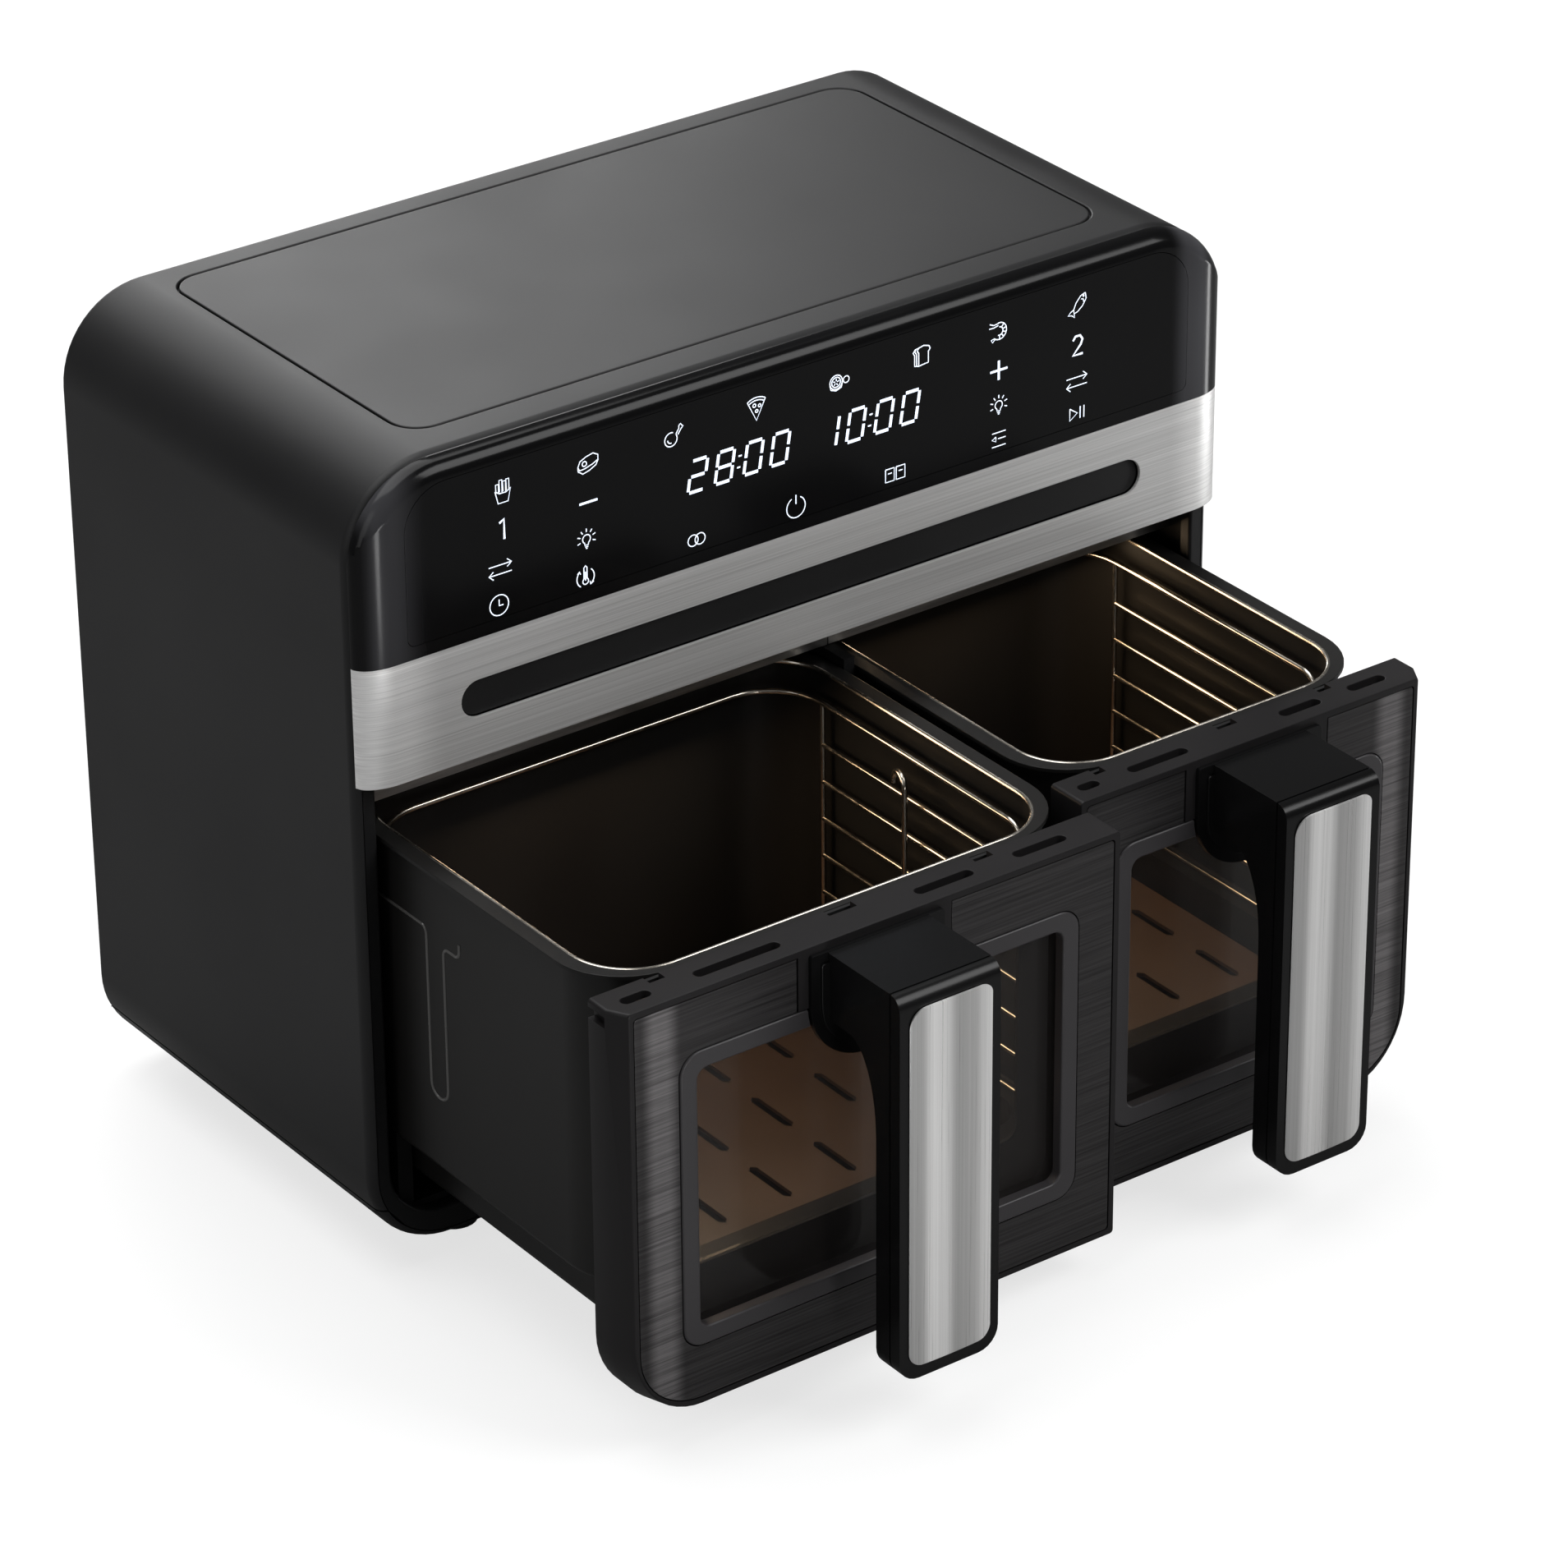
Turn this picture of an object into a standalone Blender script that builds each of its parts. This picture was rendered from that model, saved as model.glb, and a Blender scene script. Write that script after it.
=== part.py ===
"""Dual-drawer air fryer: housing, heaters and fans, two windowed drawers, crisper plates and wire racks."""

import math

import bmesh
import bpy
from mathutils import Matrix, Vector

# Overall body, in metres. The origin is under the middle of the object as it stands with its drawers open.
WIDTH = 0.400
HEIGHT = 0.336
DEPTH = 0.204
CORNER_RADIUS = 0.036
FOOT_HEIGHT = 0.009
SHELL_WALL = 0.003
GAP = 0.0003
ARC_STEPS = 6
STADIUM_ROUNDING = 0.999
PIVOT_SIZE = 0.02

# Control head and its band, at the top of the front.
HEAD_DEPTH = 0.0077
HEAD_BOTTOM = 0.213
HEAD_END_RUN = 0.014
HEAD_TOP_BEVEL = 0.007
HEAD_LOW_RADIUS = 0.005
BAND_HEIGHT = 0.049
BAND_THICKNESS = 0.0012
SLOT_SIDE_MARGIN = 0.042
SLOT_HEIGHT = 0.015
SLOT_DEPTH = 0.0028
INLAY_THICKNESS = 0.0014
INLAY_STEP = 0.0005
HEAD_LAP = 0.004
PANEL_SIDE_MARGIN = 0.020
PANEL_MARGIN = 0.005
PANEL_THICKNESS = 0.002
PANEL_RADII = (0.003, 0.003, 0.018, 0.018)

# Housing pieces.
FRAME_THICKNESS = 0.006
BASE_SPLIT = 0.030
REAR_COVER_THICKNESS = 0.003
REAR_RECESS = 0.003
LID_SIDE_MARGIN = 0.040
LID_MARGIN = 0.012
LID_RADIUS = 0.013
LID_FLANGE = 0.004
LID_GROOVE = 0.0008
FOOT_RADIUS = 0.011
FOOT_INSET = (0.050, 0.016)
FOOT_TAPER = 0.86
TRAY_VENT = (0.044, 0.005)
TRAY_VENT_PITCH = (0.080, 0.020)
REAR_VENT = (0.090, 0.005)
REAR_VENT_X = 0.095
REAR_VENT_DROP = 0.100
REAR_VENT_PITCH = 0.009
REAR_VENT_ROWS = 7

# Drawer bay.
BAY_SIDE_MARGIN = 0.009
BAY_BOTTOM = 0.022
BAY_TOP = 0.210
DECK_THICKNESS = 0.003
DECK_TOP = 0.025
DECK_SIDE_CLEARANCE = 0.006
DECK_LEG_INSET = 0.048
BAY_RADII = (0.024, 0.024, 0.002, 0.002)
DIVIDER_THICKNESS = 0.005
RUNNER_WIDTH = 0.0065
RUNNER_END_CLEARANCE = 0.008

# Drawers. The split is the line between the two fronts. What stays in is the length of basket behind the head.
SPLIT = 0.028
SPLIT_GAP = 0.0015
DRAWER_SIDE_INSET = 0.003
DRAWER_BOTTOM = 0.017
DRAWER_TOP = 0.190
DRAWER_THICKNESS = 0.018
DRAWER_CORNER = 0.034
DRAWER_SMALL_RADIUS = 0.001
DRAWER_STOP = 0.0006
LEFT_STAYS_IN = 0.037
RIGHT_STAYS_IN = 0.062
FASCIA_BORDER = 0.003
FASCIA_THICKNESS = 0.0012
FASCIA_OUTER_BORDER = 0.007
WINDOW_BOTTOM_MARGIN = 0.025
WINDOW_TOP_MARGIN = 0.025
WINDOW_RADIUS = 0.009
WINDOW_FRAME_WIDTH = 0.0075
WINDOW_FRAME_DEPTH = 0.0035
WINDOW_SET_BACK = 0.0005
INNER_GLASS_RADIUS = 0.006
GLASS_THICKNESS = 0.003
GLASS_LAP = 0.003
TOP_SLOT_WIDTH = 0.0045
TOP_SLOT_DEPTH = 0.004
TOP_SLOTS = ((0.035, 0.090), (0.175, 0.340), (0.610, 0.725), (0.810, 0.915))

# Handle on each drawer.
BOSS_WIDTH = 0.060
BOSS_DROP = 0.050
BOSS_PROUD = 0.003
BOSS_ROUNDING = 0.85
BOSS_BACKING_INSET = 0.004
BOSS_BACKING_DEPTH = 0.0085
BOSS_ROOT = 0.0008
GRIP_WIDTH = 0.045
GRIP_THICKNESS = 0.016
GRIP_BOTTOM = 0.0255
GRIP_TOP = 0.1865
GRIP_REACH = 0.044
GRIP_RADIUS = 0.0075
ARM_HEIGHT = 0.028
ARM_BEND = 0.006
ARM_FILLET = 0.014
GRIP_SIDE_ROUNDING = 0.004
INSERT_WIDTH = 0.037
INSERT_MARGIN = 0.006
INSERT_THICKNESS = 0.0012
INSERT_RADIUS = 0.006

# Basket, with a shoulder that the runners carry and a narrower well below it.
BASKET_LENGTH = 0.178
BASKET_WALL = 0.0016
BASKET_OUTER_INSET = 0.011
BASKET_INNER_INSET = 0.005
BASKET_TOP = 0.188
BASKET_SHOULDER = 0.058
BASKET_FLOOR = 0.036
BASKET_RADIUS = 0.022
WELL_INSET = 0.010
RIM_WIDTH = 0.003
RIM_THICKNESS = 0.003
BRACKET_THICKNESS = 0.0015
BRACKET_RADIUS = 0.006

# Crisper plate and wire rack.
PLATE_THICKNESS = 0.0016
PLATE_CLEARANCE = 0.003
PLATE_FOOT = 0.007
PLATE_SLOT = (0.004, 0.026)
PLATE_SLOT_PITCH = (0.030, 0.040)
PLATE_FOOT_RADIUS = 0.004
PLATE_FOOT_INSET = 0.008
RACK_WIRE = 0.00125
RACK_WALL_GAP = 0.0035
RACK_TURN = 0.010
RACK_TOP = 0.176
RACK_RUNGS = 6
RACK_FRONT_SETBACK = 0.022
RACK_SIDES = 8
RUNG_SHARE = 0.8
POST_SHARE = 0.92
POST_DROP = 0.6

# Heating and air, one set above each basket.
CHAMBER_BOTTOM = 0.192
CHAMBER_TOP = 0.262
CHAMBER_WALL = 0.0015
CHAMBER_SETBACK = 0.028
SHAFT_RADIUS = 0.003
SHAFT_HOLE = 0.006
FAN_RADIUS = 0.060
FAN_HEIGHT = 0.012
FAN_BOTTOM = 0.240
BLADE_COUNT = 8
BLADE_THICKNESS = 0.002
HUB_RADIUS = 0.011
COIL_HEIGHT = 0.228
COIL_TUBE = 0.0032
COIL_RADII = (0.052, 0.073)
COIL_TURNS = 2
COIL_STEPS = 18
COIL_LEG_TOP = 0.272
COIL_LEG_ANGLE = -20
COIL_LEAD = (0.002, 0.012, 0.006)
COIL_HOLE_CLEARANCE = 0.0006
GUARD_BOTTOM = 0.206
GUARD_THICKNESS = 0.0015
GUARD_SLOTS = 6
GUARD_END_MARGIN = 0.010
GUARD_SIDE_MARGIN = 0.014
GUARD_OPEN_SHARE = 0.72
MOTOR_RADIUS = 0.028
MOTOR_HEIGHT = 0.034
COOLING_RADIUS = 0.038
COOLING_HEIGHT = 0.010
COOLING_LIFT = 0.006
SHAFT_OVERHANG = 0.003
ROUND_STEPS = 24

# Electrics.
DISPLAY_SIDE_MARGIN = 0.050
BOARD_THICKNESS = 0.0016
POWER_BOARD = (0.120, 0.052)
POWER_BOARD_LIFT = 0.004
BOARD_TOP_CLEARANCE = 0.012
BOARD_LOW_CLEARANCE = 0.006
BOARD_PEG = 0.006
TRANSFORMER = ((-0.045, 0.010), (-0.015, 0.036), 0.020)
RELAY = ((0.002, 0.014), (0.020, 0.030), 0.014)
CAPACITOR = ((0.038, 0.026), 0.008, 0.018)
GLAND_SIDE_MARGIN = 0.050
GLAND_Z = 0.060
GLAND_RADIUS = 0.008
GLAND_BORE = 0.0038
GLAND_FLANGE = 0.011
GLAND_BACK_CLEARANCE = 0.0002
GLAND_CHAMFER = 0.001
GLAND_INSIDE = 0.002
SWITCH_SIZE = (0.012, 0.0055, 0.022)
SWITCH_HEIGHT = 0.100

# Places that follow from the sizes above.
HALF = WIDTH / 2
BAY_HALF_WIDTH = HALF - BAY_SIDE_MARGIN
PANEL_HALF_WIDTH = HALF - PANEL_SIDE_MARGIN
SLOT_HALF_LENGTH = HALF - SLOT_SIDE_MARGIN
LID_HALF_WIDTH = HALF - LID_SIDE_MARGIN
DISPLAY_HALF_WIDTH = HALF - DISPLAY_SIDE_MARGIN
GLAND_X = HALF - GLAND_SIDE_MARGIN
LEFT_PULL = BASKET_LENGTH - LEFT_STAYS_IN
RIGHT_PULL = BASKET_LENGTH - RIGHT_STAYS_IN
HANDLE_REACH = GRIP_REACH + GAP + INSERT_THICKNESS
CLOSED_SETBACK = HEAD_DEPTH + GAP - DRAWER_STOP - DRAWER_THICKNESS
FACE_Y = (max(LEFT_PULL, RIGHT_PULL) - CLOSED_SETBACK + HANDLE_REACH - DEPTH) / 2
BACK_Y = FACE_Y + DEPTH
FRAME_Y = FACE_Y + HEAD_DEPTH + GAP
SHELL_Y = FRAME_Y + FRAME_THICKNESS + GAP
REAR_Y = BACK_Y - REAR_RECESS - REAR_COVER_THICKNESS
BAND_TOP = HEAD_BOTTOM + BAND_HEIGHT
SLOT_Z = HEAD_BOTTOM + BAND_HEIGHT / 2
WINDOW_BOTTOM = DRAWER_BOTTOM + WINDOW_BOTTOM_MARGIN
WINDOW_TOP = DRAWER_TOP - WINDOW_TOP_MARGIN
CHAMBER_FRONT = FACE_Y + CHAMBER_SETBACK
CHAMBER_BACK = REAR_Y - 2 * GAP
CHAMBER_MID_Y = (CHAMBER_FRONT + CHAMBER_BACK) / 2
FAN_HOLE = SHAFT_RADIUS + GAP
INLAY_FRONT = FACE_Y + SLOT_DEPTH - INLAY_STEP
PAST = 0.01  # how far a cutter reaches past what it cuts
ROOT = 0.0005  # how far a joined detail sinks into the piece it stands on

DRAWERS = {
    "left": {
        "low": -HALF + DRAWER_SIDE_INSET, "high": SPLIT - SPLIT_GAP / 2, "outer": -1, "pull": LEFT_PULL,
        "window_outer": 0.026, "window_inner": 0.019,
    },
    "right": {
        "low": SPLIT + SPLIT_GAP / 2, "high": HALF - DRAWER_SIDE_INSET, "outer": 1, "pull": RIGHT_PULL,
        "window_outer": 0.021, "window_inner": 0.017,
    },
}


# Scene helpers.
def clear_scene():
    for obj in list(bpy.data.objects):
        bpy.data.objects.remove(obj, do_unlink=True)


def new_collection(name, hidden=False):
    collection = bpy.data.collections.new(name)
    bpy.context.scene.collection.children.link(collection)
    collection.hide_render = hidden
    return collection


def new_material(name, color, roughness, metallic=0.0, alpha=1.0, transmission=0.0):
    material = bpy.data.materials.new(name)
    material.use_nodes = True
    shader = material.node_tree.nodes["Principled BSDF"]
    shader.inputs["Base Color"].default_value = (*color, 1.0)
    shader.inputs["Roughness"].default_value = roughness
    shader.inputs["Metallic"].default_value = metallic
    shader.inputs["Alpha"].default_value = alpha
    shader.inputs["Transmission Weight"].default_value = transmission
    return material


def place(name, mesh, material, parent=None, smooth=True):
    """Adds a finished mesh as one named sub-part."""
    obj = bpy.data.objects.new(name, mesh)
    mesh.name = name
    mesh.materials.clear()
    mesh.materials.append(material)
    if smooth:
        mesh.shade_smooth()
        mesh.set_sharp_from_angle(angle=math.radians(30))
    parts.objects.link(obj)
    if parent:
        obj.parent = parent
        obj.matrix_parent_inverse = Matrix.Translation(-parent.location)
    return obj


def pivot(name, location, parent=None):
    """An empty on a joint's axis, which carries the pieces that move together."""
    empty = bpy.data.objects.new(name, None)
    empty.location = location
    empty.empty_display_size = PIVOT_SIZE
    parts.objects.link(empty)
    if parent:
        empty.parent = parent
        empty.matrix_parent_inverse = Matrix.Translation(-parent.location)
    return empty


def tool_object(name, mesh):
    obj = bpy.data.objects.new(name, mesh)
    obj.hide_render = True
    obj.display_type = "WIRE"
    cutters.objects.link(obj)
    return obj


def boolean(obj, mesh, operation):
    modifier = obj.modifiers.new(operation.lower(), "BOOLEAN")
    modifier.operation = operation
    modifier.solver = "EXACT"
    modifier.object = tool_object(f"{obj.name}_{operation.lower()}_{len(obj.modifiers)}", mesh)


def cut(obj, mesh):
    boolean(obj, mesh, "DIFFERENCE")


def unite(obj, mesh):
    boolean(obj, mesh, "UNION")


# Mesh helpers.
def mesh_from(bm, name="mesh"):
    mesh = bpy.data.meshes.new(name)
    bm.to_mesh(mesh)
    bm.free()
    return mesh


def box(low, high):
    size = Vector(high) - Vector(low)
    middle = (Vector(high) + Vector(low)) / 2
    bm = bmesh.new()
    bmesh.ops.create_cube(bm, size=1.0, matrix=Matrix.Translation(middle) @ Matrix.Diagonal((*size, 1.0)))
    return mesh_from(bm)


def rod(radius, start, end, steps=ROUND_STEPS, end_radius=None):
    """A cylinder, or a cone, between two points."""
    start, end = Vector(start), Vector(end)
    turn = (end - start).to_track_quat("Z", "Y").to_matrix().to_4x4()
    bm = bmesh.new()
    bmesh.ops.create_cone(
        bm, cap_ends=True, segments=steps, radius1=radius, radius2=radius if end_radius is None else end_radius,
        depth=(end - start).length, matrix=Matrix.Translation((start + end) / 2) @ turn)
    return mesh_from(bm)


def joined(meshes):
    bm = bmesh.new()
    for mesh in meshes:
        bm.from_mesh(mesh)
        bpy.data.meshes.remove(mesh)
    return mesh_from(bm)


def weld(mesh):
    bm = bmesh.new()
    bm.from_mesh(mesh)
    bmesh.ops.remove_doubles(bm, verts=bm.verts, dist=1e-6)
    bmesh.ops.dissolve_degenerate(bm, edges=bm.edges, dist=1e-7)
    bmesh.ops.recalc_face_normals(bm, faces=bm.faces)
    bm.to_mesh(mesh)
    bm.free()
    return mesh


def curve_mesh(curve, matrix):
    """The closed mesh of a curve object, with its caps welded on."""
    obj = bpy.data.objects.new("outline", curve)
    parts.objects.link(obj)
    obj.matrix_world = matrix
    bpy.context.view_layer.update()
    mesh = bpy.data.meshes.new_from_object(obj.evaluated_get(bpy.context.evaluated_depsgraph_get()))
    mesh.transform(matrix)
    bpy.data.objects.remove(obj, do_unlink=True)
    return weld(mesh)


FACINGS = {
    "Z": Matrix(((1, 0, 0), (0, 1, 0), (0, 0, 1))),
    "Y": Matrix(((1, 0, 0), (0, 0, 1), (0, 1, 0))),
    "X": Matrix(((0, 0, 1), (1, 0, 0), (0, 1, 0))),
}


def slab(loops, axis, low, high):
    """A flat outline, with its holes, extruded along an axis. Loops hold (x, y), (x, z) or (y, z) points."""
    curve = bpy.data.curves.new("outline", "CURVE")
    curve.dimensions = "2D"
    curve.fill_mode = "BOTH"
    curve.extrude = (high - low) / 2
    for loop in loops:
        spline = curve.splines.new("POLY")
        spline.points.add(len(loop) - 1)
        for point, (u, v) in zip(spline.points, loop):
            point.co = (u, v, 0.0, 1.0)
        spline.use_cyclic_u = True
    offset = Vector(FACINGS[axis].col[2]) * (low + high) / 2
    return curve_mesh(curve, Matrix.Translation(offset) @ FACINGS[axis].to_4x4())


def wire(points, radius):
    curve = bpy.data.curves.new("wire", "CURVE")
    curve.dimensions = "3D"
    curve.bevel_depth = radius
    curve.bevel_resolution = 2
    curve.use_fill_caps = True
    spline = curve.splines.new("POLY")
    spline.points.add(len(points) - 1)
    for point, place_at in zip(spline.points, points):
        point.co = (*place_at, 1.0)
    return curve_mesh(curve, Matrix.Identity(4))


def quarter_angles(start, turn, steps=ARC_STEPS):
    return [math.radians(start + turn * step / steps) for step in range(steps + 1)]


def rounded(u0, u1, v0, v1, radii, steps=ARC_STEPS):
    """A rectangle with rounded corners, anticlockwise from the low-left corner; radii go the same way."""
    if not isinstance(radii, tuple):
        radii = (radii,) * 4
    corners = ((u0, v0, 1, 1, 180), (u1, v0, -1, 1, 270), (u1, v1, -1, -1, 0), (u0, v1, 1, -1, 90))
    loop = []
    for (u, v, toward_u, toward_v, start), radius in zip(corners, radii):
        if radius <= 0:
            loop.append((u, v))
            continue
        middle = (u + toward_u * radius, v + toward_v * radius)
        for step in range(steps + 1):
            angle = math.radians(start + 90 * step / steps)
            loop.append((middle[0] + radius * math.cos(angle), middle[1] + radius * math.sin(angle)))
    return loop


def circle(u, v, radius, steps=ROUND_STEPS):
    angles = [math.tau * step / steps for step in range(steps)]
    return [(u + radius * math.cos(angle), v + radius * math.sin(angle)) for angle in angles]


def chain_past(loop, level, side):
    """The run of a convex loop above (side 1) or below (side -1) a level, cut exactly at the level."""
    inside = [side * (v - level) > 0 for _, v in loop]
    count = len(loop)
    start = next(i for i in range(count) if inside[i] and not inside[i - 1])
    chain = [loop[(start + i) % count] for i in range(count) if inside[(start + i) % count]]

    def crossing(out, kept):
        share = (level - out[1]) / (kept[1] - out[1])
        return (out[0] + share * (kept[0] - out[0]), level)

    first = crossing(loop[start - 1], chain[0])
    last = crossing(loop[(start + len(chain)) % count], chain[-1])
    return [first, *chain, last]


def body_loop(inset=0.0):
    """The housing's front-view outline."""
    return rounded(-HALF + inset, HALF - inset, FOOT_HEIGHT + inset, HEIGHT - inset, CORNER_RADIUS - inset)


def arch(level, side):
    """The housing wall's section above or below a level, as one open channel."""
    outer = chain_past(body_loop(), level, side)
    inner = chain_past(body_loop(SHELL_WALL), level, side)
    return outer + inner[::-1]


def head_plan(inset=0.0, back=FACE_Y + HEAD_DEPTH):
    """The head's plan outline: a flat front whose ends curve back."""
    front = FACE_Y + inset
    run, depth = HEAD_END_RUN - inset, back - front
    quarter = quarter_angles(0, 90)
    left = [(-HALF + inset + run * (1 - math.cos(a)), back - depth * math.sin(a)) for a in quarter]
    return left + [(-x, y) for x, y in reversed(left)]


def stadium(u0, u1, v0, v1, steps=ARC_STEPS):
    return rounded(u0, u1, v0, v1, (v1 - v0) / 2 * STADIUM_ROUNDING, steps)


# Housing.
def outer_shell(material):
    shell = place("outer_shell", slab([arch(BASE_SPLIT, 1)], "Y", SHELL_Y, BACK_Y), material)
    cut(shell, slab([lid_loop(0.0)], "Z", HEIGHT - 2 * SHELL_WALL, HEIGHT + SHELL_WALL))


def lid_loop(inset):
    front, back = SHELL_Y + LID_MARGIN, BACK_Y - LID_MARGIN
    half = LID_HALF_WIDTH - inset
    return rounded(-half, half, front + inset, back - inset, LID_RADIUS - inset)


def top_panel(material):
    under = HEIGHT - SHELL_WALL
    panel = place("top_panel", slab([lid_loop(LID_GROOVE)], "Z", under - GAP - SHELL_WALL, HEIGHT), material)
    unite(panel, slab([lid_loop(-LID_FLANGE)], "Z", under - GAP - SHELL_WALL / 2, under - GAP))


def base_tray(material):
    tray = place("base_tray", slab([arch(BASE_SPLIT - GAP, -1)], "Y", SHELL_Y, BACK_Y), material)
    half_long, half_wide = TRAY_VENT[0] / 2, TRAY_VENT[1] / 2
    slots = []
    for column in (-1, 0, 1):
        x = column * TRAY_VENT_PITCH[0]
        for row in (-1, 0, 1):
            y = CHAMBER_MID_Y + row * TRAY_VENT_PITCH[1]
            outline = stadium(x - half_long, x + half_long, y - half_wide, y + half_wide, 3)
            slots.append(slab([outline], "Z", 0.0, FOOT_HEIGHT + 2 * SHELL_WALL))
    cut(tray, joined(slots))


def rear_cover(material):
    half_long, half_wide = REAR_VENT[0] / 2, REAR_VENT[1] / 2
    levels = [HEIGHT - REAR_VENT_DROP + REAR_VENT_PITCH * row for row in range(REAR_VENT_ROWS)]
    vents = [stadium(x - half_long, x + half_long, z - half_wide, z + half_wide, 2)
             for x in (-REAR_VENT_X, REAR_VENT_X) for z in levels]
    hole = circle(GLAND_X, GLAND_Z, GLAND_RADIUS + GAP)
    cover = slab([body_loop(SHELL_WALL + GAP), *vents, hole], "Y", REAR_Y, REAR_Y + REAR_COVER_THICKNESS)
    place("rear_cover", cover, material)


def front_frame(material):
    opening = rounded(-BAY_HALF_WIDTH, BAY_HALF_WIDTH, BAY_BOTTOM, BAY_TOP, BAY_RADII)
    place("front_frame", slab([body_loop(), opening], "Y", FRAME_Y, FRAME_Y + FRAME_THICKNESS), material)


def control_head(material):
    head = place("control_head", slab([head_plan()], "Z", BAND_TOP, HEIGHT), material)
    lower = slab([head_plan(BAND_THICKNESS + GAP)], "Z", HEAD_BOTTOM, BAND_TOP + HEAD_LAP)
    unite(head, lower)
    front = slab([rounded(-HALF, HALF, HEAD_BOTTOM, HEIGHT, (HEAD_LOW_RADIUS,) * 2 + (CORNER_RADIUS,) * 2)],
                 "Y", FACE_Y, FACE_Y + HEAD_DEPTH)
    boolean(head, bevel_front(front, FACE_Y, HEAD_TOP_BEVEL, BAND_TOP), "INTERSECT")
    cut(head, joined([
        slab([panel_loop(-GAP)], "Y", FACE_Y - PAST, FACE_Y + PANEL_THICKNESS + GAP),
        slab([slot_loop(-GAP)], "Y", FACE_Y - PAST, INLAY_FRONT + INLAY_THICKNESS + GAP),
    ]))


def bevel_front(mesh, face_y, width, above):
    """Bevels the front outline's edges above a level."""
    bm = bmesh.new()
    bm.from_mesh(mesh)
    bpy.data.meshes.remove(mesh)
    edges = [edge for edge in bm.edges
             if all(abs(v.co.y - face_y) < 1e-5 and v.co.z > above for v in edge.verts)
             and len({round(face.normal.y, 3) for face in edge.link_faces}) == 2]
    bmesh.ops.bevel(bm, geom=edges, offset=width, segments=3, profile=0.5, affect="EDGES")
    return weld(mesh_from(bm))


def panel_loop(inset):
    low, high = BAND_TOP + PANEL_MARGIN, HEIGHT - HEAD_TOP_BEVEL - GAP
    half = PANEL_HALF_WIDTH - inset
    return rounded(-half, half, low + inset, high - inset, PANEL_RADII)


def slot_loop(inset):
    half = SLOT_HEIGHT / 2 - inset
    return stadium(-SLOT_HALF_LENGTH + inset, SLOT_HALF_LENGTH - inset, SLOT_Z - half, SLOT_Z + half)


def touch_panel(material):
    place("touch_panel", slab([panel_loop(0.0)], "Y", FACE_Y, FACE_Y + PANEL_THICKNESS), material)


def trim_band(material):
    back = FACE_Y + HEAD_DEPTH
    strip = head_plan() + head_plan(BAND_THICKNESS)[::-1]
    strip = [(x, min(y, back)) for x, y in strip]
    band = place("trim_band", slab([strip], "Z", HEAD_BOTTOM, BAND_TOP - GAP), material)
    cut(band, slab([slot_loop(-GAP)], "Y", FACE_Y - PAST, FACE_Y + SLOT_DEPTH))


def slot_inlay(material):
    place("slot_inlay", slab([slot_loop(GAP)], "Y", INLAY_FRONT, INLAY_FRONT + INLAY_THICKNESS), material)


def foot(name, x, y, material):
    mesh = rod(FOOT_RADIUS * FOOT_TAPER, (x, y, 0.0), (x, y, FOOT_HEIGHT - GAP), end_radius=FOOT_RADIUS)
    place(name, mesh, material)


def feet(material):
    x, inset_y = HALF - FOOT_INSET[0], FOOT_INSET[1]
    for row, y in (("front", SHELL_Y + inset_y), ("back", BACK_Y - inset_y)):
        foot(f"{row}_left_foot", -x, y, material)
        foot(f"{row}_right_foot", x, y, material)


# Drawer bay.
def bay_floor(material):
    half, under = BAY_HALF_WIDTH - DECK_SIDE_CLEARANCE, FOOT_HEIGHT + SHELL_WALL + GAP
    leg = BAY_HALF_WIDTH - DECK_LEG_INSET
    low = DECK_TOP - DECK_THICKNESS
    section = [(-half, DECK_TOP), (-half, low), (-leg, low), (-leg, under), (-leg + DECK_THICKNESS, under),
               (-leg + DECK_THICKNESS, low)]
    section += [(-x, z) for x, z in reversed(section)]
    place("bay_floor", slab([section], "Y", SHELL_Y, REAR_Y - GAP), material)


def bay_divider(material):
    half = DIVIDER_THICKNESS / 2
    low, high = (SPLIT - half, SHELL_Y, DECK_TOP + GAP), (SPLIT + half, REAR_Y - GAP, CHAMBER_BOTTOM - GAP)
    place("bay_divider", box(low, high), material)


def runner(name, low_x, material):
    """A rib under a basket's shoulder."""
    low = (low_x, SHELL_Y, DECK_TOP + GAP)
    high = (low_x + RUNNER_WIDTH, REAR_Y - RUNNER_END_CLEARANCE, BASKET_SHOULDER - GAP)
    place(name, box(low, high), material)


def runners(side, x0, x1, material):
    outer_low = side == "left"
    names = ("outer", "inner") if outer_low else ("inner", "outer")
    runner(f"{side}_{names[0]}_runner", x0 + BASKET_WALL, material)
    runner(f"{side}_{names[1]}_runner", x1 - BASKET_WALL - RUNNER_WIDTH, material)


# Heating and air.
def chamber_span(side):
    reach = HALF - SHELL_WALL - GAP
    return (-reach, SPLIT - GAP) if side == "left" else (SPLIT + GAP, reach)


def heat_chamber(side, axis, coil_ends, material):
    x0, x1 = chamber_span(side)
    outside = box((x0, CHAMBER_FRONT, CHAMBER_BOTTOM), (x1, CHAMBER_BACK, CHAMBER_TOP))
    chamber = place(f"{side}_heat_chamber", outside, material)
    wall = CHAMBER_WALL
    low = (x0 + wall, CHAMBER_FRONT + wall, CHAMBER_BOTTOM - PAST)
    cut(chamber, box(low, (x1 - wall, CHAMBER_BACK - wall, CHAMBER_TOP - wall)))
    under, over = CHAMBER_TOP - PAST, CHAMBER_TOP + PAST
    holes = [rod(SHAFT_HOLE, (*axis, under), (*axis, over))]
    holes += [rod(COIL_TUBE + COIL_HOLE_CLEARANCE, (x, y, under), (x, y, over), 12) for x, y in coil_ends]
    cut(chamber, joined(holes))


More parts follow.
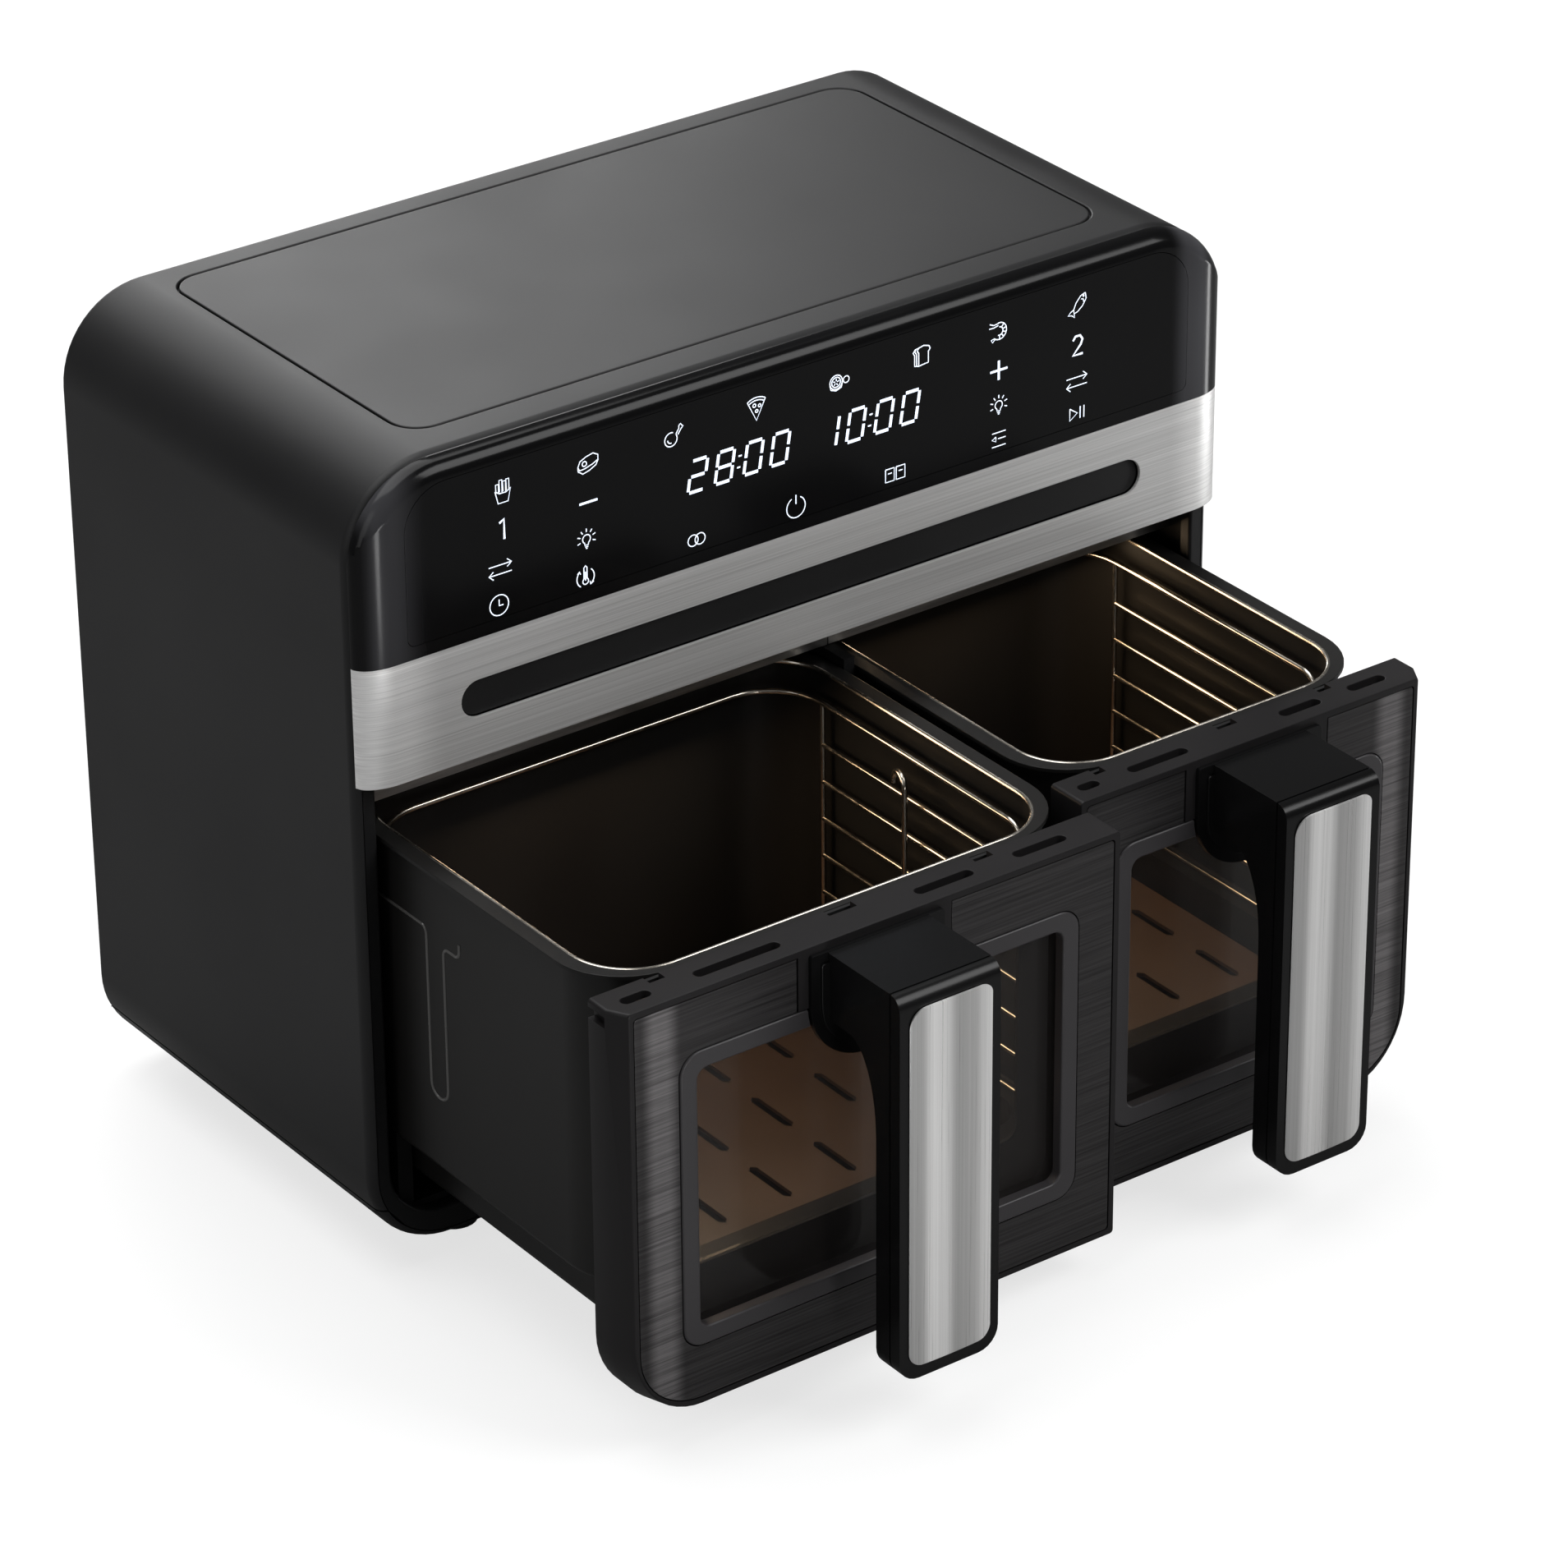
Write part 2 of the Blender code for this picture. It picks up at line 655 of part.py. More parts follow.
def coil_points(axis):
    """A flat spiral whose ends turn up through the chamber's roof."""
    inner, outer = COIL_RADII
    total = COIL_TURNS * COIL_STEPS
    flat = []
    for step in range(total + 1):
        angle = math.tau * step / COIL_STEPS
        radius = inner + (outer - inner) * step / total
        flat.append((axis[0] + radius * math.cos(angle), axis[1] + radius * math.sin(angle), COIL_HEIGHT))
    return flat


def coil_ends(axis):
    """Where the coil's two legs pass the roof. Both stand clear of the fan."""
    reach = COIL_RADII[1]
    angles = (0.0, math.radians(COIL_LEG_ANGLE))
    return [(axis[0] + reach * math.cos(a), axis[1] + reach * math.sin(a)) for a in angles]


def heating_coil(side, axis, material):
    outer_leg, inner_leg = coil_ends(axis)
    points = coil_points(axis)
    under = COIL_HEIGHT - 3 * COIL_TUBE
    first = points[0]
    aside, early, late = COIL_LEAD
    lead = [(*inner_leg, COIL_LEG_TOP), (*inner_leg, under + 2 * COIL_TUBE), (*inner_leg, under),
            (first[0] - aside, first[1] - early, under), (first[0], first[1] - late, COIL_HEIGHT - COIL_TUBE)]
    tail = [(*outer_leg, COIL_LEG_TOP)]
    place(f"{side}_heating_coil", wire(lead + points[1:] + tail, COIL_TUBE), material)


def coil_guard(side, material):
    x0, x1 = chamber_span(side)
    inset = CHAMBER_WALL + GAP
    x0, x1, y0, y1 = x0 + inset, x1 - inset, CHAMBER_FRONT + inset, CHAMBER_BACK - inset
    pitch = (y1 - y0 - 2 * GUARD_END_MARGIN) / GUARD_SLOTS
    half = pitch * GUARD_OPEN_SHARE / 2
    rows = [y0 + GUARD_END_MARGIN + pitch * (row + 0.5) for row in range(GUARD_SLOTS)]
    slots = [rounded(x0 + GUARD_SIDE_MARGIN, x1 - GUARD_SIDE_MARGIN, y - half, y + half, 0.0) for y in rows]
    guard = slab([rounded(x0, x1, y0, y1, 0.0), *slots], "Z", GUARD_BOTTOM, GUARD_BOTTOM + GUARD_THICKNESS)
    place(f"{side}_coil_guard", guard, material)


def fan_loop(axis, radius):
    """A hub with straight radial blades."""
    loop = []
    for blade in range(BLADE_COUNT):
        angle = math.tau * blade / BLADE_COUNT
        along = Vector((math.cos(angle), math.sin(angle)))
        across = Vector((-along.y, along.x))
        half = BLADE_THICKNESS / 2
        for reach, side in ((HUB_RADIUS, -half), (radius, -half), (radius, half), (HUB_RADIUS, half)):
            point = along * reach + across * side
            loop.append((axis[0] + point.x, axis[1] + point.y))
    return loop


def rotor(side, axis, steel, plastic):
    spin = pivot(f"{side}_fan_axis", (*axis, FAN_BOTTOM))
    motor_top = CHAMBER_TOP + GAP + MOTOR_HEIGHT
    cooling = motor_top + COOLING_LIFT
    shaft_top = cooling + COOLING_HEIGHT + SHAFT_OVERHANG
    shaft = rod(SHAFT_RADIUS, (*axis, FAN_BOTTOM - SHAFT_OVERHANG), (*axis, shaft_top))
    place(f"{side}_fan_shaft", shaft, steel, spin)
    hub_hole = circle(*axis, FAN_HOLE)
    hot = slab([fan_loop(axis, FAN_RADIUS), hub_hole], "Z", FAN_BOTTOM, FAN_BOTTOM + FAN_HEIGHT)
    place(f"{side}_convection_fan", hot, steel, spin)
    cool = slab([fan_loop(axis, COOLING_RADIUS), hub_hole], "Z", cooling, cooling + COOLING_HEIGHT)
    place(f"{side}_cooling_fan", cool, plastic, spin)


def fan_motor(side, axis, material):
    base = CHAMBER_TOP + GAP
    motor = slab([circle(*axis, MOTOR_RADIUS), circle(*axis, FAN_HOLE)], "Z", base, base + MOTOR_HEIGHT)
    place(f"{side}_fan_motor", motor, material)


# Electrics.
def display_board(material):
    low = (-DISPLAY_HALF_WIDTH, SHELL_Y, BAND_TOP + BOARD_LOW_CLEARANCE)
    high = (DISPLAY_HALF_WIDTH, SHELL_Y + BOARD_THICKNESS, HEIGHT - BOARD_TOP_CLEARANCE)
    place("display_board", box(low, high), material)


def power_board(material):
    """The board on its pegs, with its largest parts."""
    half_width, height = POWER_BOARD[0] / 2, POWER_BOARD[1]
    low_z, high_z = HEIGHT - BOARD_TOP_CLEARANCE - height, HEIGHT - BOARD_TOP_CLEARANCE
    back = REAR_Y - GAP - POWER_BOARD_LIFT
    front = back - BOARD_THICKNESS
    board = place("power_board", box((-half_width, front, low_z), (half_width, back, high_z)), material)
    half = BOARD_PEG / 2
    columns, rows = (-half_width + BOARD_PEG, half_width - BOARD_PEG), (low_z + BOARD_PEG, high_z - BOARD_PEG)
    bits = [box((x - half, back - ROOT, z - half), (x + half, REAR_Y - GAP, z + half))
            for x in columns for z in rows]
    for (x0, z0), (x1, z1), tall in (TRANSFORMER, RELAY):
        bits.append(box((x0, front - tall, low_z + z0), (x1, front + ROOT, low_z + z1)))
    (x, z), radius, tall = CAPACITOR
    bits.append(rod(radius, (x, front - tall, low_z + z), (x, front + ROOT, low_z + z), 16))
    unite(board, joined(bits))


def cord_gland(material):
    """A turned bushing in the rear cover, with its flange outside."""
    outer = REAR_Y + REAR_COVER_THICKNESS + GAP
    tip, inner = BACK_Y - GLAND_BACK_CLEARANCE, REAR_Y - GLAND_INSIDE
    edge = GLAND_CHAMFER
    profile = [(GLAND_BORE, tip), (GLAND_FLANGE - edge, tip), (GLAND_FLANGE, tip - edge), (GLAND_FLANGE, outer),
               (GLAND_RADIUS, outer), (GLAND_RADIUS, inner), (GLAND_BORE, inner)]
    bm = bmesh.new()
    verts = [bm.verts.new((radius, 0.0, height)) for radius, height in profile]
    for first, second in zip(verts, verts[1:] + verts[:1]):
        bm.edges.new((first, second))
    gland = place("cord_gland", mesh_from(bm), material, smooth=False)
    gland.location = (GLAND_X, 0.0, GLAND_Z)
    gland.rotation_euler = (-math.pi / 2, 0.0, 0.0)
    turn = gland.modifiers.new("turn", "SCREW")
    turn.steps = turn.render_steps = ROUND_STEPS
    turn.use_merge_vertices = True
    turn.merge_threshold = 1e-5


def drawer_switch(side, x, material):
    wide, deep, tall = SWITCH_SIZE
    back = REAR_Y - GAP
    low, high = (x - wide / 2, back - deep, SWITCH_HEIGHT), (x + wide / 2, back, SWITCH_HEIGHT + tall)
    place(f"{side}_drawer_switch", box(low, high), material)


# Drawers.
def inset_span(drawer, outer, inner):
    """A drawer's width, less one margin on its outer side and another on its inner side."""
    if drawer["outer"] < 0:
        return drawer["low"] + outer, drawer["high"] - inner
    return drawer["low"] + inner, drawer["high"] - outer


def front_loop(drawer, inset, outer=None):
    """The drawer front's outline, with its one large corner at the outer side."""
    outer = inset if outer is None else outer
    x0, x1 = inset_span(drawer, outer, inset)
    big, small = DRAWER_CORNER - outer, DRAWER_SMALL_RADIUS
    radii = (big, small, small, small) if drawer["outer"] < 0 else (small, big, small, small)
    return rounded(x0, x1, DRAWER_BOTTOM + inset, DRAWER_TOP - inset, radii)


def window_loop(drawer, inset):
    x0, x1 = inset_span(drawer, drawer["window_outer"] + inset, drawer["window_inner"] + inset)
    return rounded(x0, x1, WINDOW_BOTTOM + inset, WINDOW_TOP - inset, WINDOW_RADIUS - inset)


def boss_loop(middle, grow):
    """The U-shaped plate that the handle grows from, standing up from its round lower end."""
    half = BOSS_WIDTH / 2 + grow
    low, high = DRAWER_TOP - BOSS_DROP - grow, DRAWER_TOP - FASCIA_BORDER + grow
    big, small = half * BOSS_ROUNDING, DRAWER_SMALL_RADIUS
    return rounded(middle - half, middle + half, low, high, (big, big, small, small))


def drawer_frame(side, drawer, face, slide, material):
    middle = (drawer["low"] + drawer["high"]) / 2
    back = face + DRAWER_THICKNESS
    moulding = slab([front_loop(drawer, 0.0), window_loop(drawer, -GAP)], "Y", face, back)
    frame = place(f"{side}_drawer_frame", moulding, material, slide)
    unite(frame, slab([boss_loop(middle, -BOSS_BACKING_INSET)], "Y", face + BOSS_BACKING_DEPTH, back))
    recess = front_loop(drawer, FASCIA_BORDER - GAP, FASCIA_OUTER_BORDER - GAP)
    cut(frame, slab([recess], "Y", face - PAST, face + FASCIA_THICKNESS + GAP))
    span = drawer["high"] - drawer["low"]
    across, half = face + DRAWER_THICKNESS / 2, TOP_SLOT_WIDTH / 2
    slots = []
    for start, end in TOP_SLOTS:
        x0, x1 = drawer["low"] + span * start, drawer["low"] + span * end
        outline = stadium(x0, x1, across - half, across + half, 2)
        slots.append(slab([outline], "Z", DRAWER_TOP - TOP_SLOT_DEPTH, DRAWER_TOP + PAST))
    cut(frame, joined(slots))


def fascia(side, drawer, face, slide, material):
    middle = (drawer["low"] + drawer["high"]) / 2
    outline = front_loop(drawer, FASCIA_BORDER, FASCIA_OUTER_BORDER)
    sheet = slab([outline, window_loop(drawer, -GAP)], "Y", face, face + FASCIA_THICKNESS)
    plate = place(f"{side}_fascia", sheet, material, slide)
    cut(plate, slab([boss_loop(middle, GAP)], "Y", face - PAST, face + PAST))


def window(side, drawer, face, slide, frame_material, glass_material):
    """The window's surround, and the pane behind it."""
    middle = (drawer["low"] + drawer["high"]) / 2
    front = face + WINDOW_SET_BACK
    back = front + WINDOW_FRAME_DEPTH
    ring = slab([window_loop(drawer, 0.0), window_loop(drawer, WINDOW_FRAME_WIDTH)], "Y", front, back)
    surround = place(f"{side}_window_frame", ring, frame_material, slide)
    cut(surround, slab([boss_loop(middle, GAP)], "Y", face - PAST, face + PAST))
    behind = back + GAP
    pane = slab([window_loop(drawer, WINDOW_FRAME_WIDTH - GLASS_LAP)], "Y", behind, behind + GLASS_THICKNESS)
    place(f"{side}_window_glass", pane, glass_material, slide)


def handle(side, drawer, face, slide, material):
    """The boss plate, the arm that comes forward and the upright grip, as one moulding."""
    middle = (drawer["low"] + drawer["high"]) / 2
    front, back, root = face - GRIP_REACH, face - GRIP_REACH + GRIP_THICKNESS, face + ROOT
    arm_low = GRIP_TOP - ARM_HEIGHT
    round_off, fillet = GRIP_RADIUS, ARM_FILLET
    side_view = [(front + round_off * (1 - math.cos(a)), GRIP_BOTTOM + round_off * (1 - math.sin(a)))
                 for a in quarter_angles(0, 90)]
    side_view += [(back - round_off * (1 - math.cos(a)), GRIP_BOTTOM + round_off * (1 - math.sin(a)))
                  for a in quarter_angles(90, -90)]
    side_view += [(back + fillet * (1 - math.cos(a)), arm_low - fillet * (1 - math.sin(a)))
                  for a in quarter_angles(0, 90)]
    side_view += [(root, arm_low), (root, GRIP_TOP)]
    side_view += [(front + ARM_BEND * (1 - math.cos(a)), GRIP_TOP - ARM_BEND * (1 - math.sin(a)))
                  for a in quarter_angles(90, -90)]
    half = GRIP_WIDTH / 2
    bar = slab([side_view], "X", middle - half, middle + half)
    grip = place(f"{side}_handle", rounded_sides(bar, GRIP_SIDE_ROUNDING), material, slide)
    unite(grip, slab([boss_loop(middle, -GAP)], "Y", face - BOSS_PROUD, face + BOSS_ROOT))


def rounded_sides(mesh, width):
    """Rounds the outline edges on both flat sides of a bar."""
    bm = bmesh.new()
    bm.from_mesh(mesh)
    bpy.data.meshes.remove(mesh)
    bmesh.ops.dissolve_limit(bm, angle_limit=math.radians(1), verts=bm.verts, edges=bm.edges)
    edges = [edge for edge in bm.edges
             if sorted(abs(round(face.normal.x, 2)) for face in edge.link_faces) == [0, 1]]
    bmesh.ops.bevel(bm, geom=edges, offset=width, segments=2, profile=0.5, affect="EDGES")
    return weld(mesh_from(bm))


def handle_insert(side, drawer, face, slide, material):
    middle = (drawer["low"] + drawer["high"]) / 2
    half = INSERT_WIDTH / 2
    front = face - HANDLE_REACH
    low, high = GRIP_BOTTOM + INSERT_MARGIN, GRIP_TOP - INSERT_MARGIN
    loop = rounded(middle - half, middle + half, low, high, INSERT_RADIUS)
    place(f"{side}_handle_insert", slab([loop], "Y", front, front + INSERT_THICKNESS), material, slide)


def basket_span(drawer):
    return inset_span(drawer, BASKET_OUTER_INSET, BASKET_INNER_INSET)


def tray_loop(drawer, front, inset):
    x0, x1 = basket_span(drawer)
    y0, y1 = front + inset, front + BASKET_LENGTH - inset
    return rounded(x0 + inset, x1 - inset, y0, y1, BASKET_RADIUS - inset)


def basket(side, drawer, front, slide, material):
    well = WELL_INSET
    upper = slab([tray_loop(drawer, front, 0.0)], "Z", BASKET_SHOULDER, BASKET_TOP)
    tray = place(f"{side}_basket", upper, material, slide)
    unite(tray, slab([tray_loop(drawer, front, well)], "Z", BASKET_FLOOR, BASKET_SHOULDER + BASKET_WALL))
    x0, x1 = basket_span(drawer)
    rim = rounded(x0 - RIM_WIDTH, x1 + RIM_WIDTH, front, front + BASKET_LENGTH + RIM_WIDTH, BASKET_RADIUS)
    unite(tray, slab([rim], "Z", BASKET_TOP - RIM_THICKNESS, BASKET_TOP))
    floor = BASKET_FLOOR + BASKET_WALL
    shelf = BASKET_SHOULDER + BASKET_WALL
    cut(tray, slab([tray_loop(drawer, front, BASKET_WALL)], "Z", shelf, BASKET_TOP + PAST))
    cut(tray, slab([tray_loop(drawer, front, well + BASKET_WALL)], "Z", floor, BASKET_SHOULDER + PAST))
    cut(tray, slab([inner_glass_loop(drawer, -GAP)], "Y", front - PAST, front + GLASS_THICKNESS))


def inner_glass_loop(drawer, inset):
    """The pane in the basket's front wall, above the shoulder."""
    lap = WINDOW_FRAME_WIDTH + inset
    x0, x1 = inset_span(drawer, drawer["window_outer"] + lap, drawer["window_inner"] + lap)
    return rounded(x0, x1, BASKET_SHOULDER + 2 * BASKET_WALL + inset, WINDOW_TOP - lap, INNER_GLASS_RADIUS)


def inner_glass(side, drawer, front, slide, material):
    pane = slab([inner_glass_loop(drawer, 0.0)], "Y", front, front + GLASS_THICKNESS)
    place(f"{side}_inner_glass", pane, material, slide)


def basket_bracket(side, drawer, back, slide, material):
    """The steel plate between the drawer's front and its basket."""
    x0, x1 = basket_span(drawer)
    outer = rounded(x0, x1, BASKET_FLOOR, BASKET_TOP, BRACKET_RADIUS)
    hole = window_loop(drawer, WINDOW_FRAME_WIDTH - GLASS_LAP)
    plate = slab([outer, hole], "Y", back + GAP, back + GAP + BRACKET_THICKNESS)
    place(f"{side}_basket_bracket", plate, material, slide)


def crisper_plate(side, drawer, front, lift, material):
    gap = WELL_INSET + BASKET_WALL + PLATE_CLEARANCE
    x0, x1 = basket_span(drawer)
    low = BASKET_FLOOR + BASKET_WALL + PLATE_FOOT
    pitch_x, pitch_y = PLATE_SLOT_PITCH
    columns = int((x1 - x0 - 2 * gap) / pitch_x)
    rows = int((BASKET_LENGTH - 2 * gap) / pitch_y)
    slots = []
    for column in range(columns):
        x = (x0 + x1) / 2 + (column - (columns - 1) / 2) * pitch_x
        for row in range(rows):
            y = front + BASKET_LENGTH / 2 + (row - (rows - 1) / 2) * pitch_y
            slots.append(upright_slot(x, y, *PLATE_SLOT))
    sheet = slab([tray_loop(drawer, front, gap), *slots], "Z", low, low + PLATE_THICKNESS)
    plate = place(f"{side}_crisper_plate", sheet, material, lift)
    inset = gap + PLATE_FOOT_INSET
    ends = (front + inset, front + BASKET_LENGTH - inset)
    corners = [(x, y) for x in (x0 + inset, x1 - inset) for y in ends]
    bottom = low - PLATE_FOOT + GAP
    unite(plate, joined([rod(PLATE_FOOT_RADIUS, (x, y, bottom), (x, y, low + ROOT), 12) for x, y in corners]))


def upright_slot(x, y, across, along):
    """A long slot with two-sided ends."""
    half, end = across / 2, along / 2
    right = [(x + half, y - end + half), (x + half, y + end - half), (x, y + end)]
    return right + [(2 * x - px, 2 * y - py) for px, py in right]


def rack_frame(drawer, front):
    """The wire rack's corners: its side planes, its front and its back."""
    x0, x1 = basket_span(drawer)
    inset = BASKET_WALL + RACK_WALL_GAP + RACK_WIRE
    return x0 + inset, x1 - inset, front + RACK_FRONT_SETBACK, front + BASKET_LENGTH - inset


def wire_rack(side, drawer, front, lift, material):
    """Two ladder frames that stand on the basket's shoulder, joined across the back."""
    x0, x1, y0, y1 = rack_frame(drawer, front)
    low = BASKET_SHOULDER + BASKET_WALL + GAP + RACK_WIRE
    turn, back = RACK_TURN, BASKET_RADIUS - BASKET_WALL - RACK_WALL_GAP
    quarter = quarter_angles(0, 90, 4)
    down = [(y0 + turn * (1 - math.sin(a)), RACK_TOP - turn * (1 - math.cos(a))) for a in quarter]
    corner = [(back * (1 - math.cos(a)), back * (1 - math.sin(a))) for a in quarter]
    left = [(x0, y0, low)] + [(x0, y, z) for y, z in reversed(down)]
    left += [(x0 + u, y1 - v, RACK_TOP) for u, v in corner]
    points = left + [(x0 + x1 - x, y, z) for x, y, z in reversed(left)]
    rack = place(f"{side}_wire_rack", wire(points, RACK_WIRE), material, lift)
    pitch = (RACK_TOP - low - turn) / (RACK_RUNGS + 0.5)
    end = y1 - back
    thin = RACK_WIRE * RUNG_SHARE
    bits = []
    for x in (x0, x1):
        foot = (x, end, low - RACK_WIRE * POST_DROP)
        bits.append(rod(RACK_WIRE * POST_SHARE, foot, (x, end, RACK_TOP), RACK_SIDES))
        bits.append(rod(thin, (x, y0, low), (x, end, low), RACK_SIDES))
        bits += [rod(thin, (x, y0, low + pitch * (rung + 1)), (x, end, low + pitch * (rung + 1)), RACK_SIDES)
                 for rung in range(RACK_RUNGS)]
    for bit in bits:
        unite(rack, bit)


def drawer_set(side, drawer, looks):
    closed = FACE_Y + CLOSED_SETBACK
    face = closed - drawer["pull"]
    back = face + DRAWER_THICKNESS
    front = back + 2 * GAP + BRACKET_THICKNESS
    middle = (drawer["low"] + drawer["high"]) / 2
    slide = pivot(f"{side}_drawer_slide", (middle, face, BASKET_SHOULDER))
    drawer_frame(side, drawer, face, slide, looks["charcoal"])
    fascia(side, drawer, face, slide, looks["dark_steel"])
    window(side, drawer, face, slide, looks["window_trim"], looks["glass"])
    handle(side, drawer, face, slide, looks["gloss_black"])
    handle_insert(side, drawer, face, slide, looks["steel"])
    basket_bracket(side, drawer, back, slide, looks["plate_steel"])
    basket(side, drawer, front, slide, looks["coated_steel"])
    inner_glass(side, drawer, front, slide, looks["glass"])
    plate_lift = pivot(f"{side}_plate_lift", (middle, front + BASKET_LENGTH / 2, BASKET_FLOOR), slide)
    crisper_plate(side, drawer, front, plate_lift, looks["nonstick"])
    rack_lift = pivot(f"{side}_rack_lift", (middle, front + BASKET_LENGTH / 2, BASKET_SHOULDER), slide)
    wire_rack(side, drawer, front, rack_lift, looks["wire"])


def heater_set(side, looks):
    x0, x1 = chamber_span(side)
    axis = ((x0 + x1) / 2, CHAMBER_MID_Y)
    heat_chamber(side, axis, coil_ends(axis), looks["plate_steel"])
    heating_coil(side, axis, looks["coil"])
    coil_guard(side, looks["wire"])
    fan_motor(side, axis, looks["motor"])
    rotor(side, axis, looks["plate_steel"], looks["charcoal"])
    drawer_switch(side, axis[0], looks["charcoal"])
    runners(side, *basket_span(DRAWERS[side]), looks["charcoal"])


def main():
    looks = {
        "satin_black": new_material("satin_black", (0.022, 0.022, 0.023), 0.42),
        "charcoal": new_material("charcoal", (0.018, 0.018, 0.019), 0.5),
        "gloss_black": new_material("gloss_black", (0.006, 0.006, 0.007), 0.12),
        "panel_glass": new_material("panel_glass", (0.004, 0.004, 0.005), 0.05),
        "steel": new_material("steel", (0.62, 0.61, 0.6), 0.3, 1.0),
        "dark_steel": new_material("dark_steel", (0.07, 0.068, 0.07), 0.35, 0.9),
        "window_trim": new_material("window_trim", (0.03, 0.028, 0.03), 0.4),
        "glass": new_material("glass", (0.9, 0.88, 0.85), 0.03, 0.0, 0.3, 1.0),
        "coated_steel": new_material("coated_steel", (0.03, 0.026, 0.024), 0.38, 0.3),
        "nonstick": new_material("nonstick", (0.05, 0.034, 0.026), 0.4, 0.3),
        "plate_steel": new_material("plate_steel", (0.45, 0.44, 0.42), 0.4, 1.0),
        "wire": new_material("wire", (0.6, 0.57, 0.52), 0.25, 1.0),
        "coil": new_material("coil", (0.12, 0.1, 0.09), 0.5, 0.8),
        "motor": new_material("motor", (0.3, 0.3, 0.3), 0.45, 0.9),
        "board": new_material("board", (0.02, 0.09, 0.04), 0.5),
        "rubber": new_material("rubber", (0.015, 0.015, 0.015), 0.8),
    }
    outer_shell(looks["satin_black"])
    top_panel(looks["satin_black"])
    base_tray(looks["satin_black"])
    rear_cover(looks["satin_black"])
    front_frame(looks["charcoal"])
    control_head(looks["gloss_black"])
    touch_panel(looks["panel_glass"])
    trim_band(looks["steel"])
    slot_inlay(looks["charcoal"])
    feet(looks["rubber"])
    bay_floor(looks["charcoal"])
    bay_divider(looks["charcoal"])
    display_board(looks["board"])
    power_board(looks["board"])
    cord_gland(looks["rubber"])
    for side, drawer in DRAWERS.items():
        heater_set(side, looks)
        drawer_set(side, drawer, looks)


clear_scene()
parts = new_collection("air_fryer")
cutters = new_collection("cutters", hidden=True)
main()
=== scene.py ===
import math

import bpy
from mathutils import Matrix, Vector


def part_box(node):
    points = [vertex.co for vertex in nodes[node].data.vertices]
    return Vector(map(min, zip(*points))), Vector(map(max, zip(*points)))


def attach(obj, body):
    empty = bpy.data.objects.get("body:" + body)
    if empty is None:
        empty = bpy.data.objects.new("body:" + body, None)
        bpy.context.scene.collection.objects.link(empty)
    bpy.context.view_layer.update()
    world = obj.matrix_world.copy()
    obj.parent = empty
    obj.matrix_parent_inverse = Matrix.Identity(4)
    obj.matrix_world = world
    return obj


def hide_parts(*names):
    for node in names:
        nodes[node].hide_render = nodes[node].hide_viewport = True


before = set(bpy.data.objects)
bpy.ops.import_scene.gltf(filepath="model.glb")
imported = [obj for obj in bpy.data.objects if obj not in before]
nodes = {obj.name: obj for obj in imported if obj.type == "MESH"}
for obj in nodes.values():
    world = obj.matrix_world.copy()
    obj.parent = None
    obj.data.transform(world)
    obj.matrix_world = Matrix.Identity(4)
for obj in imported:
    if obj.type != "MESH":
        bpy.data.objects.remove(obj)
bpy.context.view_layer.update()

# cutting pieces reach this far past what they cut
past = 0.01
scene = bpy.context.scene
print("frame loaded:", len(nodes), "pieces")


# picking and moving, as by hand
def pickOnly(obj):
    if bpy.context.mode != "OBJECT":
        bpy.ops.object.mode_set(mode="OBJECT")
    bpy.ops.object.select_all(action="DESELECT")
    obj.select_set(True)
    bpy.context.view_layer.objects.active = obj


def selectParts(obj, kind, test):
    # the test sees a point's place, an edge's two ends, or a face's center and normal
    pickOnly(obj)
    bpy.ops.object.mode_set(mode="EDIT")
    bpy.ops.mesh.select_mode(type=kind)
    bpy.ops.mesh.select_all(action="DESELECT")
    bpy.ops.object.mode_set(mode="OBJECT")
    points = obj.data.vertices
    if kind == "VERT":
        seen = [(point, (point.co,)) for point in points]
    elif kind == "EDGE":
        seen = [(edge, [points[i].co for i in edge.vertices]) for edge in obj.data.edges]
    else:
        seen = [(face, (face.center, face.normal)) for face in obj.data.polygons]
    for part, places in seen:
        part.select = bool(test(*places))
    bpy.ops.object.mode_set(mode="EDIT")


def everywhere(*places):
    return True


def atPlace(near=1e-5, **levels):
    # picks edges with both ends at these levels, given as x, y or z
    return lambda *ends: all(abs(getattr(end, axis) - level) < near for end in ends for axis, level in levels.items())


def stretchPoints(obj, test, factors, center):
    # scales the picked points about a place
    selectParts(obj, "VERT", test)
    bpy.ops.transform.resize(value=factors, center_override=center)
    bpy.ops.object.mode_set(mode="OBJECT")
    return obj


def cutLevel(obj, place, direction):
    # adds a ring of edges where a plane passes
    selectParts(obj, "FACE", everywhere)
    bpy.ops.mesh.bisect(plane_co=place, plane_no=direction)
    bpy.ops.object.mode_set(mode="OBJECT")
    return obj


def bevelEdges(obj, test, width, segments=4):
    selectParts(obj, "EDGE", test)
    bpy.ops.mesh.bevel(offset=width, segments=segments, profile=0.5, affect="EDGES")
    bpy.ops.object.mode_set(mode="OBJECT")
    return obj


def applyAll(obj):
    pickOnly(obj)
    for modifier in list(obj.modifiers):
        bpy.ops.object.modifier_apply(modifier=modifier.name)
    return obj


def softEdges(obj, width, segments=2, angle=35):
    soft = obj.modifiers.new("softEdges", "BEVEL")
    soft.width = width
    soft.segments = segments
    soft.limit_method = "ANGLE"
    soft.angle_limit = math.radians(angle)
    return applyAll(obj)


